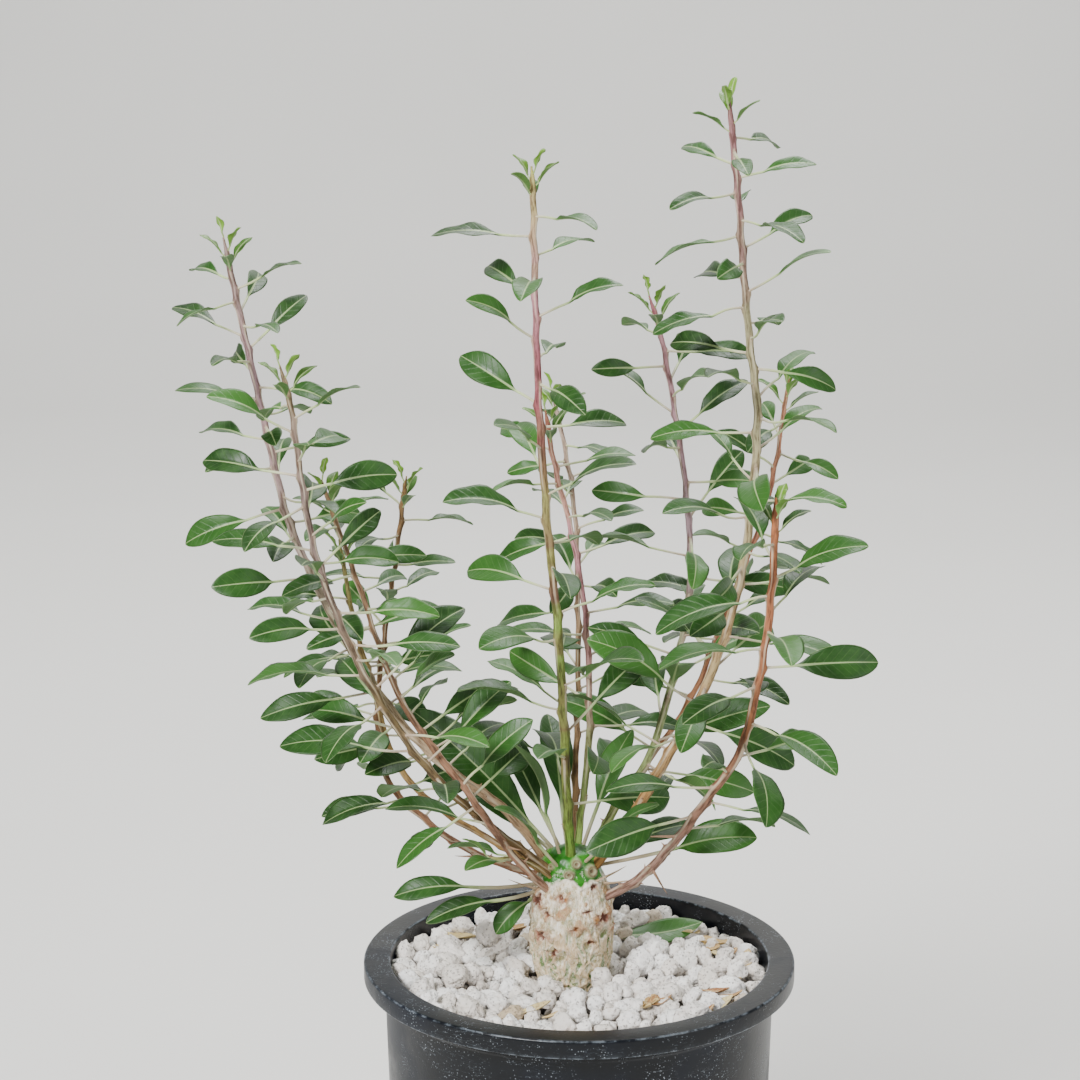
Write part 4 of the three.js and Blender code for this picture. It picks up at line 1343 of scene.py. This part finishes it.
def stem_rows(shoot, route, nodes, around=20, step=1.1):
    """A ribbed, knotted tube along a route. nodes are (distance, direction, strength)."""
    length = np.linspace(0, route.length, max(24, int(route.length / step)))
    heading = route.heading(length)
    normals, binormals = carried_frames(heading)
    angle = np.linspace(0, 2 * math.pi, around, endpoint=False)
    share = length / route.length
    base = shoot["foot"] + (shoot["tip"] - shoot["foot"]) * share
    base = base * (1 - 0.65 * fade(share, 0.97, 1.0))
    ridge, knot = np.zeros((len(length), around)), np.zeros((len(length), around))
    for at, out, strength in nodes:
        row = int(np.argmin(np.abs(length - at)))
        toward = math.atan2(out.dot(binormals[row]), out.dot(normals[row]))
        turn = np.abs((angle - toward + math.pi) % (2 * math.pi) - math.pi)[None]
        down = (at - length)[:, None]
        run = np.where(down > 0, np.clip(1 - down / 24, 0, 1) ** 0.7, bell(down, 0.9))
        ridge += strength * run * bell(turn, 0.36)
        knot += strength * bell(down - 0.5, 1.5) * bell(turn, 0.7)
    ridge, knot = np.clip(ridge, 0, 1.2), np.clip(knot, 0, 1.2)
    ring = normals[:, None] * np.cos(angle)[None, :, None] + \
        binormals[:, None] * np.sin(angle)[None, :, None]
    centre = route.at(length)
    for at, out, strength in nodes:
        kink = np.clip(1 - np.abs(length - at) / 7, 0, 1)[:, None]
        centre = centre + 0.3 * strength * kink * fade(share, 0, 0.1)[:, None] * out
    uneven = field(centre[:, None] + ring * 2, 0.22) * 0.12
    radius = base[:, None] * (0.93 + uneven) + 0.3 * ridge + 0.55 * knot
    fibre = np.stack([np.cos(angle)[None] * base[:, None], np.sin(angle)[None] * base[:, None],
                      np.broadcast_to(length[:, None] * 0.14, radius.shape)], axis=-1) * MM
    stops = np.array([linear(code)[:3] for code in shoot["bark"]])
    shade = np.repeat(look.normal(0, 0.035, 40), 6)
    moved = np.clip(share + np.interp(length, np.arange(240) * 1.7, shade), 0, 1)
    places = moved * (len(stops) - 1)
    tint = np.stack([np.interp(places, np.arange(len(stops)), stops[:, i]) for i in range(3)], -1)
    marks = {"ridge": ridge, "knot": knot, "thorn": 0.0, "point": 0.0, "fibre": fibre,
             "tint": np.repeat(tint[:, None], around, axis=1)}
    return centre[:, None] + ring * radius[..., None], marks


# %% Thorns and stubs on the bare part
def add_thorn(tubes, foot, out, length, radius, tint):
    rows = thorn_rows(foot, out, length, radius, bend=look.uniform(-0.05, 0.1))
    share = np.linspace(0, 1, len(rows))[:, None]
    tubes.add(rows, ridge=0.0, knot=0.0, thorn=fade(share, 0.02, 0.3) * 0.8,
              point=fade(share, 0.82, 1.0), tint=np.array(tint), fibre=rows * MM)


def bare_nodes(shoot, route):
    """Old nodes on the bare part: a spiral that leads up to the first leaf."""
    at, bearing, found = shoot["bare"] - shoot["spacing"], shoot["phase"] - GOLDEN, []
    while at > 14:
        out = leaf_frame(bearing, 20, route.heading(at))[0]
        found.append((at, out, 0.8))
        at -= shoot["spacing"] * 0.8
        bearing -= GOLDEN
    return found


for name, shoot in SHOOTS.items():
    route = routes[name]
    leafy = [(leaf["at"], leaf["out"], 0.45 if leaf["young"] else 1.0)
             for leaf in shoot_leaves[name]]
    spiny = [(spine["at"], spine["out"], 1.0) for spine in shoot_spines[name]]
    old = bare_nodes(shoot, route)
    tubes = Tubes()
    rows, marks = stem_rows(shoot, route, leafy + spiny + old)
    tubes.add(rows, **marks)
    tint = linear(shoot["bark"][0])[:3]
    for spine in shoot_spines[name]:
        add_thorn(tubes, spine["foot"], spine["out"], spine["stalk"], 0.62, tint)
    for at, out, _ in old:
        stub = look.uniform(1.2, 2.6) if shoot.get("thorny") else look.uniform(0.6, 1.6)
        radius = shoot["foot"] + (shoot["tip"] - shoot["foot"]) * at / route.length
        add_thorn(tubes, route.at(at) + out * radius * 0.7, out, radius * 0.6 + stub, 0.55, tint)
    piece_from_tubes(f"stem_{name}", tubes, stem_finish, [f"shoot_{name}"])

# %% [markdown]
# ## Pumice topping
# The bed is topped with crushed pumice: light, rough stones of 5 to 15 mm, packed by gravity. A
# few lumpy stones are shaped once, then turned and stretched to make hundreds. Their places come
# from a small settling sum: balls fall into the pot, push each other apart and come to rest, so
# the bed is packed as tightly and as unevenly as a poured one.

# %% Pumice finish: crushed volcanic froth
# Pumice is frozen glass foam. Broken bubbles make it matte and pitted, and dust softens its
# edges. Most stones are off-white, with a few stained tan by iron or green by algae.
def crushed_pumice():
    finish, shader, add = new_finish("crushed_pumice")
    tone, stain, depth = (
        add("Attribute", output="Fac", attribute_name=name)
        for name in ("tone", "stain", "depth"))
    place = add("TexCoord", output="Object")
    colour = add("ValToRGB", {
        "Fac": tone,
    }, [(0.0, "#e4ddd4"), (0.3, "#f2ece6"), (0.7, "#faf7f3"), (1.0, "#fffefc")])
    cloudy = add("TexNoise", {
        "Vector": place, "Scale": per_mm(3), "Detail": 5.0, "Roughness": 0.65,
    })
    colour = add("Mix", {
        "Factor": add("MapRange", {
            "Value": cloudy, "From Min": 0.52, "From Max": 0.72, "To Min": 0, "To Max": 0.5,
        }, interpolation_type=SOFT),
        6: colour, 7: "#c4b2a0",
    }, output=COLOUR_OUT, data_type="RGBA")
    colour = add("Mix", {
        "Factor": stain, 6: colour, 7: "#b39b73",
    }, output=COLOUR_OUT, data_type="RGBA")
    # Bubbles are 0.1 to 0.5 mm: the pits are drawn a little coarser, to show.
    pits = add("TexVoronoi", {"Vector": place, "Scale": per_mm(1.25)})
    rough_field = add("TexNoise", {
        "Vector": place, "Scale": per_mm(1.6), "Detail": 6.0, "Roughness": 0.7,
    })
    hole = add("Math", {
        0: add("MapRange", {
            "Value": pits, "From Min": 0.36, "From Max": 0.14,
        }, interpolation_type=SOFT),
        1: add("MapRange", {
            "Value": rough_field, "From Min": 0.4, "From Max": 0.52,
        }, interpolation_type=SOFT),
    }, operation="MULTIPLY")
    # The pits are also darkened: painted shade inside the broken bubbles.
    colour = add("Mix", {
        "Factor": add("Math", {0: hole, 1: 0.45}, operation="MULTIPLY"), 6: colour, 7: "#75685a",
    }, output=COLOUR_OUT, data_type="RGBA")
    # Stones that lie low between the others are darkened by their depth: painted shade for the gaps
    # in the bed.
    low = add("MapRange", {
        "Value": depth, "From Min": 0.0, "From Max": 1.0, "To Min": 0, "To Max": 0.75,
    }, interpolation_type=SOFT)
    colour = add("Mix", {
        "Factor": low, 6: colour, 7: "#6e6254",
    }, output=COLOUR_OUT, data_type="RGBA")
    bumps = add("Bump", {"Height": rough_field, "Distance": 0.9 * MM, "Strength": 1.0})
    set_inputs(shader, {
        "Base Color": colour, "Roughness": 0.93, "Specular IOR Level": 0.3,
        "Normal": add("Bump", {
            "Height": hole, "Distance": -0.6 * MM, "Normal": bumps, "Strength": 1.0,
        }),
    })
    return finish


pumice_finish = crushed_pumice()

# %% Stone shapes
def ball_mesh(steps):
    """Points and triangles of a round ball, from a subdivided icosahedron."""
    made = bmesh.new()
    bmesh.ops.create_icosphere(made, subdivisions=steps, radius=1)
    points = np.array([v.co[:] for v in made.verts])
    faces = np.array([[v.index for v in f.verts] for f in made.faces])
    made.free()
    return points, faces


def broken_stone(ball, which):
    """A lump with broken faces: flats are knocked off a ball, then its surface is roughened."""
    shape = np.random.default_rng(400 + which)
    points = ball.copy()
    for _ in range(9):
        blow = unit(shape.normal(size=3))
        depth = shape.uniform(0.62, 0.9)
        past = np.maximum(points @ blow - depth, 0)
        points -= 0.82 * past[:, None] * blow
    shift = shape.uniform(-50, 50, 3)
    lumps = field(ball + shift, 1.3) * 0.22 + field(ball + shift, 3.1) * 0.13
    pocks = np.maximum(field(ball - shift, 4.6), 0.12) * 0.3
    return points * (1.04 + lumps - pocks + field(ball + shift, 8.0) * 0.06)[:, None]


fine_ball, fine_faces = ball_mesh(4)
coarse_ball, coarse_faces = ball_mesh(3)
fine_shapes = [broken_stone(fine_ball, i) for i in range(24)]
coarse_shapes = [broken_stone(coarse_ball, i) for i in range(24)]
print("stone shapes:", len(fine_shapes), "of", len(fine_ball), "points")


def turned_at_random(rng):
    """A random rotation matrix."""
    a = unit(rng.normal(size=3))
    b = unit(np.cross(a, rng.normal(size=3)))
    return np.stack([a, b, np.cross(a, b)])


# %% Where the stones settle
wall_inside = wall_radius(surface) - WALL - 0.6
BED_DEPTH = 8.0
big_boxes = [box_mm(f"pumice_stone_{i + 1}") for i in range(10)]
big_centres = np.array([(low + high) / 2 for low, high in big_boxes])
big_radii = np.array([np.mean(high - low) / 2 for low, high in big_boxes])


def close_pairs(balls, radii, margin=1.5):
    """Pairs of balls that may meet within the next few rounds."""
    distance = np.linalg.norm(balls[:, None] - balls[None], axis=2)
    near = distance < radii[:, None] + radii[None] + margin
    return np.nonzero(np.triu(near, 1))


def push_pairs(balls, radii, first, second, share):
    """How far each ball is pushed by the balls that it overlaps."""
    gap = balls[first] - balls[second]
    distance = np.maximum(np.linalg.norm(gap, axis=1), 1e-6)
    need = np.maximum(share * (radii[first] + radii[second]) - distance, 0)
    push = (need / distance)[:, None] * gap
    moved = np.zeros_like(balls)
    np.add.at(moved, first, push)
    np.add.at(moved, second, -push)
    return moved


def push_off(balls, radii, others, other_radii, share):
    """How far each ball is pushed by stones that stay where they are."""
    gap = balls[:, None] - others[None]
    distance = np.linalg.norm(gap, axis=2)
    need = np.maximum(share * (radii[:, None] + other_radii[None]) - distance, 0)
    return ((need / distance)[..., None] * gap).sum(axis=1)


def settle(count=2150, rounds=240):
    """Drops balls into the pot round the trunk and the big stones, and lets them come to rest."""
    rng = np.random.default_rng(5)
    radii = np.clip(rng.lognormal(0.78, 0.34, count), 1.1, 5.2)
    around = rng.uniform(0, 2 * math.pi, count)
    out = np.sqrt(rng.uniform((waist + 4) ** 2, (wall_inside - 4) ** 2, count))
    balls = np.stack([out * np.cos(around), out * np.sin(around),
                      surface + rng.uniform(-6, 20, count)], axis=-1)
    for step in range(rounds):
        if step % 8 == 0:
            first, second = close_pairs(balls, radii)
        balls[:, 2] -= 0.45 if step < rounds - 60 else 0.1
        for _ in range(2):
            balls += 0.34 * push_pairs(balls, radii, first, second, 0.93)
            balls += push_off(balls, radii, big_centres, big_radii, 0.9)
        reach = np.linalg.norm(balls[:, :2], axis=1)
        balls[:, :2] *= (np.minimum(reach, wall_inside - 0.85 * radii) / reach)[:, None]
        flat = balls[:, :2] - trunk_centre[:2]
        reach = np.linalg.norm(flat, axis=1)
        wide = trunk_radius(balls[:, 2] - surface) + 0.85 * radii
        balls[:, :2] = trunk_centre[:2] + flat * (np.maximum(reach, wide) / reach)[:, None]
        balls[:, 2] = np.maximum(balls[:, 2], surface - BED_DEPTH + radii)
    return balls, radii


balls, radii = settle()
tops = balls[:, 2] + radii
print("stones:", len(balls), "tops", np.percentile(tops, [50, 80, 97, 100]).round(1))

# %% Loose stones
def stone_batch(name, chosen, nodes):
    """Joins the chosen stones into one piece."""
    rng = np.random.default_rng(len(chosen))
    points, faces, marks, start = [], [], {"tone": [], "stain": [], "depth": []}, 0
    for i in chosen:
        fine = radii[i] > 3.0
        shapes, triangles = (fine_shapes, fine_faces) if fine else (coarse_shapes, coarse_faces)
        shape = shapes[rng.integers(len(shapes))]
        stretch = radii[i] * np.array([1.2, 1.02, 0.86]) * rng.uniform(0.93, 1.07, 3)
        points.append((shape * stretch) @ turned_at_random(rng) + balls[i])
        faces.append(triangles + start)
        start += len(shape)
        right = fade(balls[i][0], -10, 60)
        stained = rng.uniform(0.3, 0.85) if rng.uniform() < 0.03 + 0.04 * right else 0.0
        # How far a stone lies below the bed's level, which the finish turns into painted shade.
        painted_gap_shade = float(fade(surface - balls[i][2], -0.5, 4))
        for mark_name, value in (("tone", rng.uniform()), ("stain", stained), ("depth", painted_gap_shade)):
            marks[mark_name].append(np.full(len(shape), value))
    marks = {mark_name: np.concatenate(parts) for mark_name, parts in marks.items()}
    return make_piece(name, np.concatenate(points), np.concatenate(faces).tolist(),
                      pumice_finish, nodes, marks)


# Stones that lie under the others are left out: nothing of them can be seen.
shown = np.flatnonzero(tops > surface - 3.2)
by_angle = shown[np.argsort(np.arctan2(balls[shown, 1], balls[shown, 0]))]
for part, chosen in enumerate(np.array_split(by_angle, 4)):
    stone_batch(f"pumice_stones_{part + 1}", chosen, ["pumice_topping"])

# %% The ten largest stones
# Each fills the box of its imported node, so it lies where the plain stone does.
for i, (low, high) in enumerate(big_boxes):
    shape = fine_shapes[(5 * i + 2) % len(fine_shapes)]
    span = shape.max(axis=0) - shape.min(axis=0)
    middle = (shape.max(axis=0) + shape.min(axis=0)) / 2
    points = (shape - middle) / span * (high - low) * 1.04 + (low + high) / 2
    flat = np.zeros(len(points))
    make_piece(f"large_pumice_{i + 1}", points, fine_faces.tolist(), pumice_finish,
               [f"pumice_stone_{i + 1}"], {"tone": flat + 0.45 + 0.05 * i, "stain": flat,
                                           "depth": flat})

# %% Fine pumice under the stones
def bed_rows():
    """A closed drum with a lumpy top, seen only in the gaps between the stones."""
    segments = 180
    levels = [(0.05, -12), (wall_inside, -12), (wall_inside, -5.5)]
    radii_up = np.linspace(wall_inside, 0.05, 60)[1:]
    rows = [ring_of(radius, surface + z, segments) for radius, z in levels]
    for radius in radii_up:
        row = ring_of(radius, surface - 5, segments)
        row[:, 2] += 1.1 * field(row, 0.3) + 0.7 * field(row, 0.8)
        rows.append(row)
    return np.stack(rows)


bed = Tubes()
# The bed carries the full depth mark, so the finish paints all of it dark as shade between the
# stones.
bed.add(bed_rows(), tone=0.2, stain=0.0, depth=1.0)
piece_from_tubes("pumice_bed", bed, pumice_finish, ["pumice_topping"])

# %% [markdown]
# ## Loose leaves
# One fresh leaf has dropped on the stones, and a few old ones lie about, dried to tan and brown
# and curled as they dried. They are the same narrow ellipses with no stalk, curled further.

# %% Dry leaf finish: papery, tan to brown
def papery_dry_leaf():
    finish, shader, add = new_finish("papery_dry_leaf")
    across, tone, along = (
        add("Attribute", output="Fac", attribute_name=name)
        for name in ("across", "tone", "along"))
    place = add("TexCoord", output="Object")
    aside = add("Math", {0: across}, operation="ABSOLUTE")
    colour = add("ValToRGB", {
        "Fac": tone,
    }, [(0.0, "#8a5a38"), (0.4, "#b08a55"), (0.7, "#c9ab74"), (1.0, "#cfc08c")])
    blotch = add("TexNoise", {"Vector": place, "Scale": per_mm(3), "Detail": 6.0, "Roughness": 0.7})
    colour = add("Mix", {
        "Factor": add("MapRange", {
            "Value": blotch, "From Min": 0.5, "From Max": 0.68, "To Min": 0, "To Max": 0.7,
        }, interpolation_type=SOFT),
        6: colour, 7: "#7a4f30",
    }, output=COLOUR_OUT, data_type="RGBA")
    slant = add("Math", {
        0: along, 1: add("Math", {0: aside, 1: 0.9}, operation="MULTIPLY"),
    }, operation="SUBTRACT")
    bands = add("Math", {0: slant, 1: 1.0}, operation="PINGPONG")
    vein = add("MapRange", {
        "Value": bands, "From Min": 0.3, "From Max": 0.05,
    }, interpolation_type=SOFT)
    colour = add("Mix", {
        "Factor": add("Math", {0: vein, 1: 0.3}, operation="MULTIPLY"), 6: colour, 7: "#e0cfa2",
    }, output=COLOUR_OUT, data_type="RGBA")
    rib = add("MapRange", {
        "Value": aside, "From Min": 0.5, "From Max": 0.25,
    }, interpolation_type=SOFT)
    colour = add("Mix", {
        "Factor": add("Math", {0: rib, 1: 0.6}, operation="MULTIPLY"), 6: colour, 7: "#dcc999",
    }, output=COLOUR_OUT, data_type="RGBA")
    skin = add("Bump", {
        "Height": add("TexNoise", {
            "Vector": place, "Scale": per_mm(0.8), "Detail": 4.0, "Roughness": 0.55,
        }),
        "Distance": 0.15 * MM, "Strength": 1.0,
    })
    set_inputs(shader, {
        "Base Color": colour, "Roughness": 0.72, "IOR": 1.45,
        "Normal": add("Bump", {
            "Height": vein, "Distance": 0.15 * MM, "Normal": skin, "Strength": 1.0,
        }),
    })
    return finish


dry_finish = papery_dry_leaf()

# %% Loose leaves on the stones
# Compass angle, distance out from 0 at the axis to 1 at the wall, own bearing, length and width,
# then how far the leaf curls along its length and how far it is folded.
LOOSE_LEAVES = {
    "fallen_green_leaf": (48, 0.88, 12, 36, 12, 0.1, 0.16),
    "dry_leaf_1": (145, 0.93, 320, 20, 6, 0.35, 0.4),
    "dry_leaf_2": (124, 0.74, 5, 14, 6, 0.3, 0.5),
    "dry_leaf_3": (26, 0.93, 300, 17, 8, 0.5, 0.4),
    "dry_leaf_4": (4, 0.97, 75, 13, 5, 0.9, 0.6),
    "dry_leaf_5": (311, 0.66, 30, 12, 7, 0.5, 0.5),
    "dry_leaf_6": (322, 1, 42, 20, 5, 0.3, 0.5),
    "dry_leaf_7": (246, 0.7, 30, 17, 4, 0.3, 0.8),
}
bed_radius = wall_radius(surface) - WALL - 0.3


def loose_leaf_rows(around, out, bearing, length, width, curl, fold, tone, roll=0.0):
    share = np.concatenate([[0.002], np.linspace(0.03, 0.97, 22), [0.998]])
    heading, side, rise = leaf_frame(bearing, 4, roll=roll)
    centre = direction(around, 0) * out * (bed_radius - length / 2)
    centre = centre + [0, 0, surface + 4 + 0.07 * roll] - 0.5 * length * heading
    bow = share - 0.5
    line = centre + (share * length)[:, None] * heading
    line += (length * curl * (0.25 * bow ** 2 + 0.9 * np.maximum(bow, 0) ** 2))[:, None] * rise
    line += (0.05 * length * np.sin(3.0 * share))[:, None] * side
    half = half_width(share, width)[:, None]
    across = half * RING
    level = TOP * 0.16 * np.sqrt(1 - RING ** 2) + fold * np.abs(across) * (0.7 + 0.6 * bow[:, None])
    level += 0.05 * width * np.sign(RING) * RING ** 2 * np.sin(9 * share + tone * 6)[:, None]
    level += np.where(TOP < 0, -0.25, -0.1) * bell(across, 0.5)
    rows = line[:, None] + across[..., None] * side + level[..., None] * rise
    marks = {"across": across, "along": (share * length)[:, None], "under": (TOP < 0) * 1.0,
             "margin": half - np.abs(across), "tone": tone, "young": 0.0,
             "tip": share[:, None], "stalky": 0.0}
    return rows, marks


def add_broken_bits(tubes, spec, count):
    """Adds small curled bits of dry leaf near the leaf that they broke from."""
    around, out, bearing, length, width, _, _ = spec
    for _ in range(count):
        small = look.uniform(0.35, 0.6)
        rows, marks = loose_leaf_rows(
            around + look.uniform(-16, 16), out * look.uniform(0.82, 0.99),
            bearing + look.uniform(-80, 80), length * small, width * small * 1.4,
            look.uniform(0.3, 1.0), look.uniform(0.2, 0.7), tone=look.uniform(0, 1))
        tubes.add(rows, **marks)


DRY_TONES = [0.9, 0.35, 0.6, 0.8, 0.2, 1.0, 0.95]
green_tubes = Tubes()
rows, marks = loose_leaf_rows(*LOOSE_LEAVES["fallen_green_leaf"], tone=0.9, roll=26)
green_tubes.add(rows, **marks)
piece_from_tubes("loose_fallen_green_leaf", green_tubes, leaf_finish,
                 ["fallen_green_leaf"])
for number, tone in enumerate(DRY_TONES, start=1):
    spec = LOOSE_LEAVES[f"dry_leaf_{number}"]
    tubes = Tubes()
    rows, marks = loose_leaf_rows(*spec, tone=tone)
    tubes.add(rows, **marks)
    # More litter has gathered on the right of the pot than on the left.
    on_right = math.cos(math.radians(spec[0])) > 0
    add_broken_bits(tubes, spec, 5 if on_right else 1)
    piece_from_tubes(f"loose_dry_leaf_{number}", tubes, dry_finish,
                     [f"dry_leaf_{number}"])

# %% [markdown]
# ## Stage and light
# The plant stands on a plain pale sweep: a floor that curves up behind it, as in a small studio.
# One large soft light from the front left models the stems and stones, a second fills from the
# right, and one from above and behind picks out the leaves' edges. A fourth lights the paper
# behind.

# %% Stage
def matte_paper():
    finish, shader, add = new_finish("matte_background_paper")
    shade = add("TexNoise", {
        "Vector": add("TexCoord", output="Object"), "Scale": per_mm(400), "Detail": 2.0,
        "Roughness": 0.55,
    })
    colour = add("Mix", {
        "Factor": shade, 6: "#d2d1cd", 7: "#dad9d5",
    }, output=COLOUR_OUT, data_type="RGBA")
    set_inputs(shader, {"Base Color": colour, "Roughness": 0.9})
    return finish


def sweep_points():
    """The floor's line from front to back, with a quarter turn up to the wall."""
    turn = np.linspace(0, math.pi / 2, 16)
    bent = [(2.2 + 0.9 * math.sin(a), 0.9 - 0.9 * math.cos(a)) for a in turn]
    return [(-14.0, 0.0)] + bent + [(3.1, 3.2)]


line = sweep_points()
mesh = bpy.data.meshes.new("paper_sweep")
points = [(x, y, z) for y, z in line for x in (-12.0, 12.0)]
faces = [(2 * i, 2 * i + 1, 2 * i + 3, 2 * i + 2) for i in range(len(line) - 1)]
mesh.from_pydata(points, [], faces)
mesh.shade_smooth()
mesh.materials.append(matte_paper())
paper = bpy.data.objects.new("paper_sweep", mesh)
bpy.context.scene.collection.objects.link(paper)
paper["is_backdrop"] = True
print("sweep of", len(faces), "faces")


# %% Lights
def soft_light(name, place, aim, size, watts):
    """A square area light that faces a point."""
    data = bpy.data.lights.new(name, "AREA")
    data.shape, data.size, data.energy = "SQUARE", size, watts
    lamp = bpy.data.objects.new(name, data)
    lamp.location = place
    lamp.rotation_euler = (Vector(aim) - Vector(place)).to_track_quat("-Z", "Y").to_euler()
    bpy.context.scene.collection.objects.link(lamp)


centre = (0, 0, 0.27)
soft_light("key_light", (-0.75, -1.1, 1.25), centre, 0.45, 50)
soft_light("fill_light", (1.2, -0.9, 0.7), centre, 1.0, 10)
soft_light("top_light", (0.25, 0.7, 1.5), centre, 0.8, 21)
soft_light("backdrop_light", (0, 1.2, 2.6), (0, 3.1, 1.0), 1.5, 85)
world = bpy.data.worlds.new("studio")
world.use_nodes = True
world.node_tree.nodes["Background"].inputs["Color"].default_value = linear("#e6e8ea")
world.node_tree.nodes["Background"].inputs["Strength"].default_value = 0.42
bpy.context.scene.world = world

# %% [markdown]
# ## Closing the frame
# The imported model's box and the finished model's box are written side by side, so that they can
# be compared.

# %% Sizes and finish
def plain(box):
    return [[round(c, 5) for c in corner] for corner in box]


sizes = {"cad_box": plain(cad_box), "visual_box": plain(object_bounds())}
print(sizes)
